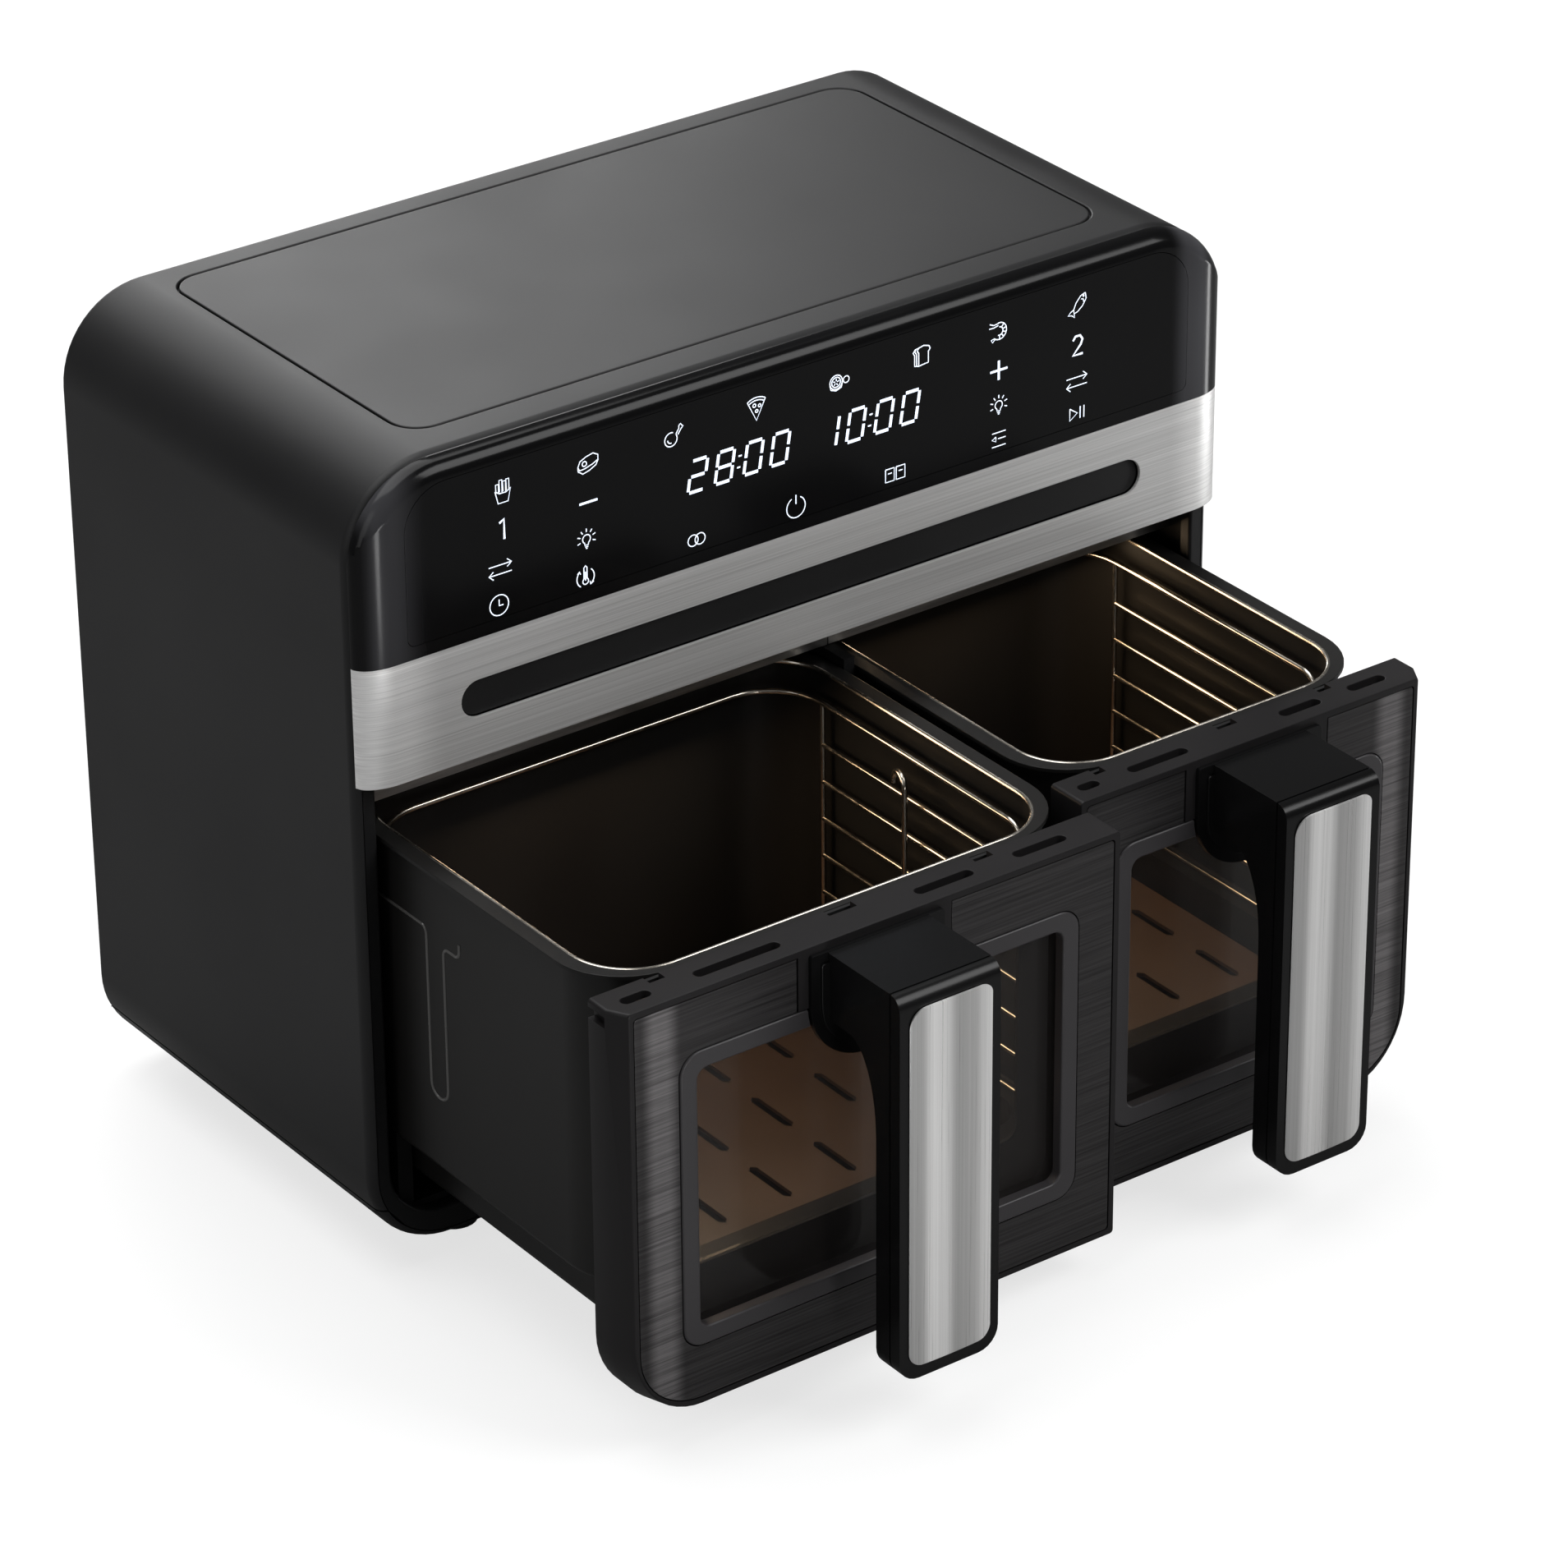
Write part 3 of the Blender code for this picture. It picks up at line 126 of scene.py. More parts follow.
def combine(obj, others, way):
    for other in others:
        both = obj.modifiers.new("combine", "BOOLEAN")
        both.operation = way
        both.solver = "EXACT"
        both.object = other
        applyAll(obj)
        bpy.data.objects.remove(other, do_unlink=True)
    return obj


def cutAway(obj, *others):
    return combine(obj, others, "DIFFERENCE")


def fuse(obj, *others):
    return combine(obj, others, "UNION")


def keepInside(obj, *others):
    return combine(obj, others, "INTERSECT")


def copyOf(obj, name, shift=(0, 0, 0)):
    twin = obj.copy()
    twin.data = obj.data.copy()
    twin.name = name
    scene.collection.objects.link(twin)
    twin.data.transform(Matrix.Translation(shift))
    return twin


def joinUp(name, objs):
    bpy.ops.object.select_all(action="DESELECT")
    for obj in objs:
        obj.select_set(True)
    bpy.context.view_layer.objects.active = objs[0]
    if len(objs) > 1:
        bpy.ops.object.join()
    bpy.context.object.name = name
    return bpy.context.object


def addBox(name, low, high):
    low, high = Vector(low), Vector(high)
    bpy.ops.object.select_all(action="DESELECT")
    bpy.ops.mesh.primitive_cube_add(size=1, location=(low + high) / 2)
    obj = bpy.context.object
    obj.scale = high - low
    obj.name = name
    bpy.ops.object.transform_apply(location=True, rotation=True, scale=True)
    return obj


def roundBox(name, low, high, axis, radii, segments=8):
    # radii go round the corners: low low, high low, high high, low high
    obj = addBox(name, low, high)
    along = "XYZ".index(axis)
    u, v = [i for i in range(3) if i != along]
    corners = ((low[u], low[v]), (high[u], low[v]), (high[u], high[v]), (low[u], high[v]))
    if not isinstance(radii, (list, tuple)):
        radii = [radii] * 4
    for (atU, atV), radius in zip(corners, radii):
        if radius > 0:
            bevelEdges(obj, atPlace(1e-6, **{"xyz"[u]: atU, "xyz"[v]: atV}), radius, segments)
    return obj


def addTube(name, lines, radius, closed=False, roundness=3):
    # lines of points become one round wire mesh
    curve = bpy.data.curves.new(name, "CURVE")
    curve.dimensions = "3D"
    curve.bevel_depth = radius
    curve.bevel_resolution = roundness
    curve.use_fill_caps = not closed
    for points in lines:
        spline = curve.splines.new("POLY")
        spline.points.add(len(points) - 1)
        for slot, point in zip(spline.points, points):
            slot.co = (*point, 1)
        spline.use_cyclic_u = closed
    obj = bpy.data.objects.new(name, curve)
    scene.collection.objects.link(obj)
    pickOnly(obj)
    bpy.ops.object.convert(target="MESH")
    return bpy.context.object


def arc(middle, radius, start, end, steps=8):
    return [(middle[0] + radius * math.cos(math.radians(start + (end - start) * i / steps)),
             middle[1] + radius * math.sin(math.radians(start + (end - start) * i / steps))) for i in range(steps + 1)]


def roundLoop(low, high, radius, steps=6):
    (u0, v0), (u1, v1) = low, high
    r = radius
    return (arc((u0 + r, v0 + r), r, 180, 270, steps) + arc((u1 - r, v0 + r), r, 270, 360, steps)
            + arc((u1 - r, v1 - r), r, 0, 90, steps) + arc((u0 + r, v1 - r), r, 90, 180, steps))


def finishPiece(obj, name, body, coats, stands=(), angle=35):
    pickOnly(obj)
    bpy.ops.object.shade_smooth_by_angle(angle=math.radians(angle))
    # flat faces keep their own normals beside small bevels
    flat = obj.modifiers.new("flat", "WEIGHTED_NORMAL")
    flat.keep_sharp = True
    applyAll(obj)
    obj.name = name
    obj.data.name = name
    obj.data.materials.clear()
    for coat in coats.split():
        obj.data.materials.append(looks[coat])
    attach(obj, body)
    if stands:
        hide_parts(*stands)
    return obj


def finishOn(d, obj, name, coats, stand=None, angle=35):
    # a drawer's piece, named after its side
    stands = [f"{d['side']}_{stand}"] if stand else ()
    return finishPiece(obj, d["side"] + name, d["body"], coats, stands, angle)


# finishes
class Finish:
    # a Principled material, with short calls for the nodes that these finishes use
    def __init__(self, name, color, roughness, metal=0.0, **sockets):
        self.material = bpy.data.materials.new(name)
        self.material.use_nodes = True
        self.nodes = self.material.node_tree.nodes
        self.links = self.material.node_tree.links
        self.shader = self.nodes["Principled BSDF"]
        self.coords = None
        self.set("Base Color", (*color, 1))
        self.set("Roughness", roughness)
        self.set("Metallic", metal)
        for socket, value in sockets.items():
            self.set(socket.replace("_", " "), value)

    def set(self, socket, value):
        self.shader.inputs[socket].default_value = value

    def noise(self, scale, stretch=(1, 1, 1), detail=4.0, rough=0.55):
        if not self.coords:
            self.coords = self.nodes.new("ShaderNodeTexCoord")
        place = self.nodes.new("ShaderNodeMapping")
        place.inputs["Scale"].default_value = stretch
        self.links.new(self.coords.outputs["Object"], place.inputs["Vector"])
        noise = self.nodes.new("ShaderNodeTexNoise")
        noise.inputs["Scale"].default_value = scale
        noise.inputs["Detail"].default_value = detail
        noise.inputs["Roughness"].default_value = rough
        self.links.new(place.outputs["Vector"], noise.inputs["Vector"])
        return noise.outputs["Fac"]

    def spread(self, value, low, high, fromLow=0.3, fromHigh=0.7):
        span = self.nodes.new("ShaderNodeMapRange")
        for socket, number in zip(("From Min", "From Max", "To Min", "To Max"), (fromLow, fromHigh, low, high)):
            span.inputs[socket].default_value = number
        self.links.new(value, span.inputs["Value"])
        return span.outputs["Result"]

    def tint(self, value, dark, light, low=0.3, high=0.7):
        ramp = self.nodes.new("ShaderNodeValToRGB")
        ramp.color_ramp.elements[0].position = low
        ramp.color_ramp.elements[1].position = high
        ramp.color_ramp.elements[0].color = (*dark, 1)
        ramp.color_ramp.elements[1].color = (*light, 1)
        self.links.new(value, ramp.inputs["Fac"])
        self.links.new(ramp.outputs["Color"], self.shader.inputs["Base Color"])

    def paintedHighlights(self, axis, center, half, stops):
        # painted highlights: multiplies the base colour by soft bright bands over a width about a place on one axis,
        # standing in for reflections of light
        parts = self.nodes.new("ShaderNodeSeparateXYZ")
        self.links.new(self.coords.outputs["Object"], parts.inputs["Vector"])
        position = self.spread(parts.outputs[axis], 0, 1, center - half, center + half)
        base = self.shader.inputs["Base Color"].links[0].from_socket
        ramp = self.nodes.new("ShaderNodeValToRGB")
        ramp.color_ramp.interpolation = "EASE"
        spots = ramp.color_ramp.elements
        spots[0].position, spots[1].position = stops[0][0], stops[-1][0]
        for place, tone in stops[1:-1]:
            spots.new(place)
        for spot, (place, tone) in zip(spots, stops):
            spot.color = (tone, tone, tone, 1)
        mix = self.nodes.new("ShaderNodeMix")
        mix.data_type = "RGBA"
        mix.blend_type = "MULTIPLY"
        mix.inputs[0].default_value = 1.0
        self.links.new(position, ramp.inputs["Fac"])
        self.links.new(base, mix.inputs[6])
        self.links.new(ramp.outputs["Color"], mix.inputs[7])
        self.links.new(mix.outputs[2], self.shader.inputs["Base Color"])

    def grain(self, value, strength, distance):
        bump = self.nodes.new("ShaderNodeBump")
        bump.inputs["Strength"].default_value = strength
        bump.inputs["Distance"].default_value = distance
        self.links.new(value, bump.inputs["Height"])
        self.links.new(bump.outputs["Normal"], self.shader.inputs["Normal"])

    def roughen(self, value, low, high):
        self.links.new(self.spread(value, low, high), self.shader.inputs["Roughness"])


def mouldedFinish(name, dark, light, rough, grainSize, grainDepth, specular, highlightBands=None):
    # moulded plastic: a fine spark grain, and slow changes of gloss and tone; given bands paint highlights into the
    # base colour
    finish = Finish(name, light, rough[0], Specular_IOR_Level=specular)
    slow = finish.noise(9, detail=2)
    finish.tint(slow, dark, light)
    finish.roughen(slow, *rough)
    if grainDepth:
        finish.grain(finish.noise(grainSize, detail=2), 0.35, grainDepth)
    # painted highlights: bright bands multiplied into the base colour
    if highlightBands:
        finish.paintedHighlights(*highlightBands)
    return finish.material


def brushedFinish(name, dark, light, rough, stretch, depth, metal=1.0, uneven=0.0, highlightBands=None):
    # long fine scratches in one direction over a slow change of tone; given bands paint highlights into the base colour
    finish = Finish(name, light, rough[0], metal, Anisotropic=uneven)
    streaks = finish.noise(1, stretch, detail=3, rough=0.7)
    finish.tint(streaks, dark, light, 0.25, 0.75)
    finish.roughen(streaks, *rough)
    finish.grain(streaks, 0.25, depth)
    # painted highlights: bright bands multiplied into the base colour
    if highlightBands:
        finish.paintedHighlights(*highlightBands)
    return finish.material


# painted highlights, as soft bright bands in the base colour: axis, middle, half width, then stops of place and tone;
# on the head they are painted highlights at its two curved ends
headEndHighlights = ("X", 0, 0.2, ((0.0, 1.0), (0.006, 1.0), (0.022, 13.0), (0.034, 12.0), (0.075, 1.0), (0.93, 1.0),
                           (0.952, 16.0), (0.968, 20.0), (0.985, 1.0), (1.0, 1.0)))
# painted highlights at the trim band's two curved ends
bandEndHighlights = ("X", 0, 0.2, ((0.0, 1.45), (0.04, 1.4), (0.09, 1.0), (0.5, 1.0), (0.93, 1.0), (0.97, 1.4), (1.0, 1.45)))
# painted reflections: light and dark bands across the insert's curved face
insertPaintedReflections = ((0.0, 0.62), (0.12, 0.66), (0.27, 1.25), (0.42, 1.15), (0.57, 0.62), (0.75, 0.72), (0.92, 1.1),
               (1.0, 1.2))
# a painted highlight strip near each fascia's outer end
fasciaPaintedHighlight = {"left": ((0.0, 1.0), (0.32, 1.0), (0.43, 4.2), (0.5, 4.2), (0.62, 1.0), (1.0, 1.0)),
               "right": ((0.0, 1.0), (0.38, 1.0), (0.5, 4.2), (0.57, 4.2), (0.68, 1.0), (1.0, 1.0))}

# dark tone, light tone, roughness, grain size and depth, specular level, painted highlight bands
moulded = {
    "satinBlack": ((0.0075, 0.0075, 0.008), (0.0105, 0.0105, 0.011), (0.42, 0.5), 2600, 0.00006, 0.26),
    "mattBlack": ((0.005, 0.005, 0.0053), (0.008, 0.008, 0.0083), (0.5, 0.6), 2200, 0.00008, 0.25),
    "drawerCharcoal": ((0.0095, 0.0088, 0.0092), (0.013, 0.012, 0.0126), (0.36, 0.46), 3000, 0.00004, 0.17),
    "pianoBlack": ((0.0022, 0.0022, 0.0024), (0.0035, 0.0035, 0.0038), (0.15, 0.19), 0, 0, 0.16, headEndHighlights),
    "handleBlack": ((0.0026, 0.0026, 0.0027), (0.0045, 0.0045, 0.0047), (0.2, 0.28), 0, 0, 0.2),
    "panelGlass": ((0.0018, 0.0018, 0.002), (0.003, 0.003, 0.0033), (0.14, 0.18), 0, 0, 0.16, headEndHighlights),
    "windowTrim": ((0.027, 0.025, 0.027), (0.036, 0.034, 0.036), (0.34, 0.44), 3000, 0.00003, 0.36),
    "basketCoat": ((0.0075, 0.0072, 0.007), (0.0115, 0.011, 0.0105), (0.34, 0.44), 1800, 0.00004, 0.18),
    "flangeCoat": ((0.04, 0.04, 0.04), (0.054, 0.054, 0.0535), (0.4, 0.5), 1800, 0.00004, 0.4),
    # the pressed line is real; its lighter tone than the basket's coat is a painted highlight
    "beadCoatPaintedHighlight": ((0.05, 0.049, 0.047), (0.08, 0.078, 0.075), (0.22, 0.3), 1500, 0.00002, 0.6),
    "nonstick": ((0.07, 0.04, 0.023), (0.12, 0.07, 0.042), (0.3, 0.42), 1400, 0.00006, 0.5),
    "boardGreen": ((0.012, 0.06, 0.028), (0.02, 0.1, 0.045), (0.38, 0.5), 600, 0.00005, 0.5),
    "footRubber": ((0.01, 0.01, 0.01), (0.018, 0.018, 0.018), (0.75, 0.88), 1500, 0.0001, 0.25),
}
# dark tone, light tone, roughness, stretch and depth of the streaks, metal, anisotropy, painted highlight bands
brushed = {
    "bandSteel": ((0.44, 0.438, 0.434), (0.7, 0.697, 0.692), (0.3, 0.38), (5, 60, 1500), 0.00001, 0.45, 0.6, bandEndHighlights),
    "plateSteel": ((0.3, 0.295, 0.285), (0.5, 0.49, 0.475), (0.32, 0.48), (30, 30, 700), 0.00003),
    "wireSteel": ((0.5, 0.455, 0.385), (0.68, 0.63, 0.55), (0.16, 0.26), (300, 300, 300), 0.00001),
    "rimSteel": ((0.42, 0.39, 0.34), (0.6, 0.56, 0.5), (0.2, 0.3), (200, 200, 200), 0.00001),
    "coilSheath": ((0.05, 0.045, 0.042), (0.16, 0.13, 0.11), (0.4, 0.6), (260, 260, 260), 0.00005),
    "motorCan": ((0.22, 0.22, 0.23), (0.36, 0.36, 0.37), (0.35, 0.5), (20, 20, 500), 0.00003),
}
# the brushed pieces of each drawer have painted highlight bands of their own, placed from the piece
for side in ("left", "right"):
    insertMiddle = sum(corner.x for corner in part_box(f"{side}_handle_insert")) / 2
    fasciaLow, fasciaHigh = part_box(f"{side}_fascia")
    # the middle of the painted highlight, 13 mm in from the fascia's outer end
    fasciaHighlightMiddle = fasciaLow.x + 0.013 if side == "left" else fasciaHigh.x - 0.013
    brushed[f"insertSteel{side.title()}"] = ((0.54, 0.537, 0.532), (0.72, 0.717, 0.712), (0.26, 0.36), (1300, 60, 5),
                                             0.00001, 0.5, 0.4, ("X", insertMiddle, 0.0185, insertPaintedReflections))
    brushed[f"fasciaSteel{side.title()}"] = ((0.016, 0.0152, 0.0155), (0.062, 0.059, 0.06), (0.3, 0.42), (14, 40, 1100),
                                             0.00003, 0.7, 0.4, ("X", fasciaHighlightMiddle, 0.03, fasciaPaintedHighlight[side]))
looks = {name: mouldedFinish(name, *row) for name, row in moulded.items()}
looks.update({name: brushedFinish(name, *row) for name, row in brushed.items()})


def clearPane():
    # a thin pane: mostly seen through, with its own reflections on top
    finish = Finish("ovenGlass", (0.03, 0.026, 0.024), 0.03, Specular_IOR_Level=0.6, Alpha=0.2)
    finish.roughen(finish.noise(12, detail=2), 0.02, 0.06)
    return finish.material


def litIcons():
    finish = Finish("litIcons", (0.8, 0.88, 0.95), 0.4)
    finish.set("Emission Color", (0.74, 0.82, 1.0, 1))
    finish.set("Emission Strength", 1.0)
    finish.roughen(finish.noise(40, detail=1), 0.35, 0.45)
    return finish.material


looks["ovenGlass"] = clearPane()
looks["litIcons"] = litIcons()
print("finishes:", len(looks))


# housing
housing = {
    "corner": 0.036,
    "frontLip": 0.0048,
    "rearLip": 0.0022,
    "rearShy": 0.0001,
    "wall": 0.003,
    "liner": 0.0034,
    "partingGap": 0.0005,
    "lidFlange": 0.004,
    "lidGroove": 0.0009,
    "lidDepth": 0.0022,
    "lidCorner": 0.013,
    "edge": 0.0006,
    "ventLow": (-0.102, 0.087, 0),
    "ventHigh": (-0.058, 0.092, 0.02),
    "ventCorner": 0.0024,
    "ventPitch": (0.08, 0.02),
    "ventRows": 3,
}
frameLow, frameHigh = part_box("front_frame")
shellLow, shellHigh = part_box("outer_shell")
lidLow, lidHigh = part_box("top_panel")
headLow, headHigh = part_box("control_head")
bandLow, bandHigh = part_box("trim_band")


def housingBlock(name, inset, y0, y1):
    low = (frameLow.x + inset, y0, frameLow.z + inset)
    high = (frameHigh.x - inset, y1, frameHigh.z - inset)
    return roundBox(name, low, high, "Y", housing["corner"] - inset, 14)


def buildHousing():
    s = housing
    ring = housingBlock("ring", 0, frameLow.y, shellHigh.y - s["rearShy"])
    bevelEdges(ring, atPlace(y=frameLow.y), s["frontLip"], 6)
    bevelEdges(ring, atPlace(y=shellHigh.y - s["rearShy"]), s["rearLip"], 4)
    cutAway(ring, housingBlock("hollow", s["wall"], frameLow.y - past, shellHigh.y + past))
    tray = copyOf(ring, "tray")
    wide = frameHigh.x + past
    cutAway(ring, addBox("below", (-wide, -0.1, -0.01), (wide, 0.4, shellLow.z)))
    cutAway(tray, addBox("above", (-wide, -0.1, shellLow.z - s["partingGap"]), (wide, 0.4, 0.5)))
    bevelEdges(ring, atPlace(z=shellLow.z), s["edge"] * 0.8, 2)
    bevelEdges(tray, atPlace(z=shellLow.z - s["partingGap"]), s["edge"] * 0.8, 2)
    # pocket for the inset panel on top
    flange = s["lidFlange"]
    x0, x1, y0, y1 = lidLow.x + flange, lidHigh.x - flange, lidLow.y + flange, lidHigh.y - flange
    pocket = roundBox("pocket", (x0, y0, shellHigh.z - s["lidDepth"]), (x1, y1, shellHigh.z + past), "Z",
                      s["lidCorner"], 10)
    cutAway(ring, pocket)
    bevelEdges(ring, lambda a, b: all(abs(p.z - shellHigh.z) < 1e-5 and x0 - 1e-4 < p.x < x1 + 1e-4
                                      and y0 - 1e-4 < p.y < y1 + 1e-4 for p in (a, b)), s["edge"], 3)
    finishPiece(ring, "outerShell", "housing", "satinBlack", ["outer_shell"])
    g = s["lidGroove"]
    lid = roundBox("lid", (x0 + g, y0 + g, shellHigh.z - s["lidDepth"] + 0.0001), (x1 - g, y1 - g, shellHigh.z), "Z",
                   s["lidCorner"] - g, 10)
    bevelEdges(lid, atPlace(z=shellHigh.z), s["edge"], 3)
    finishPiece(lid, "topPanel", "housing", "satinBlack", ["top_panel"])
    # vents under the tray, one made and the rest copied
    vent = roundBox("vent", s["ventLow"], s["ventHigh"], "Z", s["ventCorner"], 4)
    (stepX, stepY), rows = s["ventPitch"], range(s["ventRows"])
    vents = [vent] + [copyOf(vent, "vent", (stepX * i, stepY * j, 0)) for i in rows for j in rows if i or j]
    cutAway(tray, joinUp("vents", vents))
    finishPiece(tray, "baseTray", "housing", "satinBlack", ["base_tray"])


buildHousing()

bay = {"frontSet": 0.0005, "sideReach": 0.191, "bottom": 0.022, "top": 0.210, "lowCorner": 0.024, "topCorner": 0.002,
       "lip": 0.0014}


def buildFrontFrame():
    s = bay
    front = frameLow.y + s["frontSet"]
    plate = housingBlock("plate", housing["liner"], front, frameHigh.y)
    hole = roundBox("hole", (-s["sideReach"], front - past, s["bottom"]),
                    (s["sideReach"], frameHigh.y + past, s["top"]), "Y",
                    [s["lowCorner"]] * 2 + [s["topCorner"]] * 2, 8)
    cutAway(plate, hole)
    inner = s["sideReach"] + 0.001
    low, high = s["bottom"] - 0.001, s["top"] + 0.001
    bevelEdges(plate, lambda a, b: all(abs(p.y - front) < 1e-5 and abs(p.x) < inner and low < p.z < high
                                       for p in (a, b)), s["lip"], 3)
    finishPiece(plate, "bayFrame", "housing", "satinBlack", ["front_frame"])


buildFrontFrame()
print("housing made")

# control head, with ends that curve back
head = {"endRun": 0.0148, "topBevel": 0.0072, "cornerTop": 0.036, "cornerLow": 0.005, "panelGap": 0.00018,
        "panelCorner": 0.018, "panelLow": 0.003, "bandWall": 0.0012, "bandGap": 0.0004,
        "slotHalf": 0.158, "slotHeight": 0.015, "slotDepth": 0.0028}


def curvedBlock(name, inset, z0, z1):
    # the run is bevelled round, then squeezed to the head's depth
    front, back = headLow.y + inset, headHigh.y
    run = head["endRun"] - inset
    half = headHigh.x - inset
    block = addBox(name, (-half, front, z0), (half, front + run * 1.001, z1))
    for side in (-half, half):
        bevelEdges(block, atPlace(1e-6, x=side, y=front), run, 14)
    return stretchPoints(block, everywhere, (1, (back - front) / (run * 1.001), 1), (0, front, 0))


def slotBlock(name, grow, y0, y1):
    half, tall = head["slotHalf"] + grow, head["slotHeight"] / 2 + grow
    mid = (bandLow.z + bandHigh.z) / 2
    return roundBox(name, (-half, y0, mid - tall), (half, y1, mid + tall), "Y", tall * 0.998, 8)


def buildHead():
    s = head
    block = curvedBlock("head", 0, bandHigh.z, headHigh.z)
    fuse(block, curvedBlock("core", s["bandWall"] + s["bandGap"], headLow.z, bandHigh.z + 0.004))
    outline = roundBox("outline", headLow, headHigh, "Y", [s["cornerLow"]] * 2 + [s["cornerTop"]] * 2, 14)
    bevelEdges(outline, lambda a, b: all(abs(p.y - headLow.y) < 1e-6 and p.z > bandHigh.z for p in (a, b)),
               s["topBevel"], 8)
    keepInside(block, outline)
    glassLow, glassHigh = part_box("touch_panel")
    g = s["panelGap"]
    corners = [s["panelLow"]] * 2 + [s["panelCorner"]] * 2
    well = roundBox("well", (glassLow.x - g, headLow.y - past, glassLow.z - g),
                    (glassHigh.x + g, glassHigh.y, glassHigh.z + g), "Y", corners, 10)
    cutAway(block, well, slotBlock("slot", -0.0001, headLow.y - past, headLow.y + s["slotDepth"] + 0.001))
    finishPiece(block, "controlHead", "housing", "pianoBlack", ["control_head"])
    glass = roundBox("glass", glassLow, (glassHigh.x, glassHigh.y - 0.0001, glassHigh.z), "Y", corners, 10)
    bevelEdges(glass, atPlace(y=glassLow.y), 0.00012, 2)
    finishPiece(glass, "touchPanel", "housing", "panelGlass", ["touch_panel"])

    band = curvedBlock("band", 0, bandLow.z, bandHigh.z)
    bevelEdges(band, lambda a, b: abs(a.z - b.z) < 1e-6 and min(a.y, b.y) < headHigh.y - 0.0005, 0.0005, 2)
    cutAway(band, curvedBlock("bandCore", s["bandWall"], bandLow.z - past, bandHigh.z + past))
    cutAway(band, slotBlock("bandSlot", 0.0, headLow.y - past, headLow.y + past))
    middle, reach = (bandLow.z + bandHigh.z) / 2, s["slotHeight"] / 2 + 0.0005
    bevelEdges(band, lambda a, b: all(abs(p.y - headLow.y) < 1e-5 and abs(p.z - middle) < reach for p in (a, b)),
               0.0004, 2)
    finishPiece(band, "trimBand", "housing", "bandSteel", ["trim_band"])

    inlay = slotBlock("inlay", -0.0003, headLow.y + s["slotDepth"] - 0.001, headLow.y + s["slotDepth"] + 0.0009)
    softEdges(inlay, 0.0003)
    finishPiece(inlay, "slotInlay", "housing", "mattBlack", ["slot_inlay"])


buildHead()
print("control head made")

# lit icons on the panel, as fine raised lines
icons = {"line": 0.00024, "size": 0.0048, "digitTall": 0.0125, "digitWide": 0.0072, "digitPitch": 0.0122,
         "digitLine": 0.00075, "slant": 0.16, "proud": 0.00012}


def ring(x, z, radius, start=0, end=360, steps=20):
    return arc((x, z), radius, start, end, steps)


def chips():
    cup = [(-0.7, 0.1), (-0.45, -0.95), (0.45, -0.95), (0.7, 0.1), (0.3, -0.15), (-0.3, -0.15), (-0.7, 0.1)]
    sticks = []
    for x, top in ((-0.5, 0.65), (-0.18, 0.95), (0.14, 0.8), (0.44, 0.9)):
        sticks.append([(x - 0.12, -0.02), (x - 0.14, top), (x + 0.12, top), (x + 0.12, -0.08)])
    return [cup] + sticks


def steakCut():
    top = [(-0.95, -0.1), (-0.75, 0.35), (-0.2, 0.6), (0.45, 0.75), (0.9, 0.5), (0.9, 0.1), (0.4, -0.15), (-0.3, -0.35),
           (-0.8, -0.4), (-0.95, -0.1)]
    side = [(-0.95, -0.1), (-0.93, -0.45), (-0.5, -0.75), (0.1, -0.6), (0.7, -0.3), (0.92, 0.1)]
    return [top, side, ring(-0.35, 0.05, 0.2)]


def drumstick():
    meat = ring(-0.25, -0.25, 0.58, 70, 395)
    bone = [(0.22, 0.1), (0.5, 0.5), (0.5, 0.72), (0.66, 0.86), (0.78, 0.7), (0.9, 0.6), (0.72, 0.45), (0.4, 0.0)]
    return [meat, bone, ring(-0.25, -0.25, 0.3, 180, 280)]


def pizzaSlice():
    slice = [(-0.85, 0.75), (0.0, -0.95), (0.85, 0.75)]
    crust = arc((0, -0.6), 1.6, 58, 122, 12)
    inner = arc((0, -0.6), 1.36, 60, 120, 12)
    return [slice, crust, inner, ring(-0.2, 0.35, 0.14), ring(0.3, 0.25, 0.12), ring(0.02, -0.15, 0.12)]


def biscuits():
    rim = [(-0.85, -0.05), (-0.75, -0.45), (-0.25, -0.62), (0.25, -0.45), (0.35, -0.05)]
    spokes = [[(-0.25 + r * math.cos(a), 0.1 + r * math.sin(a)) for r in (0.3, 0.1)] for a in (0.3, 1.5, 2.8, 4.0, 5.2)]
    return [ring(-0.25, 0.1, 0.6), ring(-0.25, 0.1, 0.42), ring(0.72, 0.1, 0.28), rim] + spokes


def toastLoaf():
    front = [(-0.2, -0.8), (-0.2, 0.3), (-0.35, 0.5), (-0.2, 0.75), (0.3, 0.85), (0.8, 0.7), (0.92, 0.45), (0.75, 0.25),
             (0.75, -0.7), (-0.2, -0.8)]
    back = [[(-0.2, 0.75), (-0.55, 0.7), (-0.75, 0.45), (-0.6, 0.2), (-0.6, -0.7), (-0.2, -0.8)],
            [(-0.45, 0.72), (-0.58, 0.5), (-0.42, 0.28), (-0.42, -0.75)]]
    return [front] + back


def prawn():
    body = ring(0.05, 0, 0.72, -130, 100)
    belly = ring(0.05, 0, 0.36, -110, 90)
    lines = [[(0.05 + r * math.cos(a), r * math.sin(a)) for r in (0.4, 0.7)] for a in (-1.5, -0.9, -0.3, 0.3, 0.9)]
    feelers = [[(0.0, 0.68), (-0.5, 0.62), (-0.9, 0.8)], [(-0.05, 0.5), (-0.5, 0.4), (-0.95, 0.42)],
               [(-0.4, -0.55), (-0.75, -0.6), (-0.6, -0.85), (-0.35, -0.6)]]
    return [body, belly] + lines + feelers


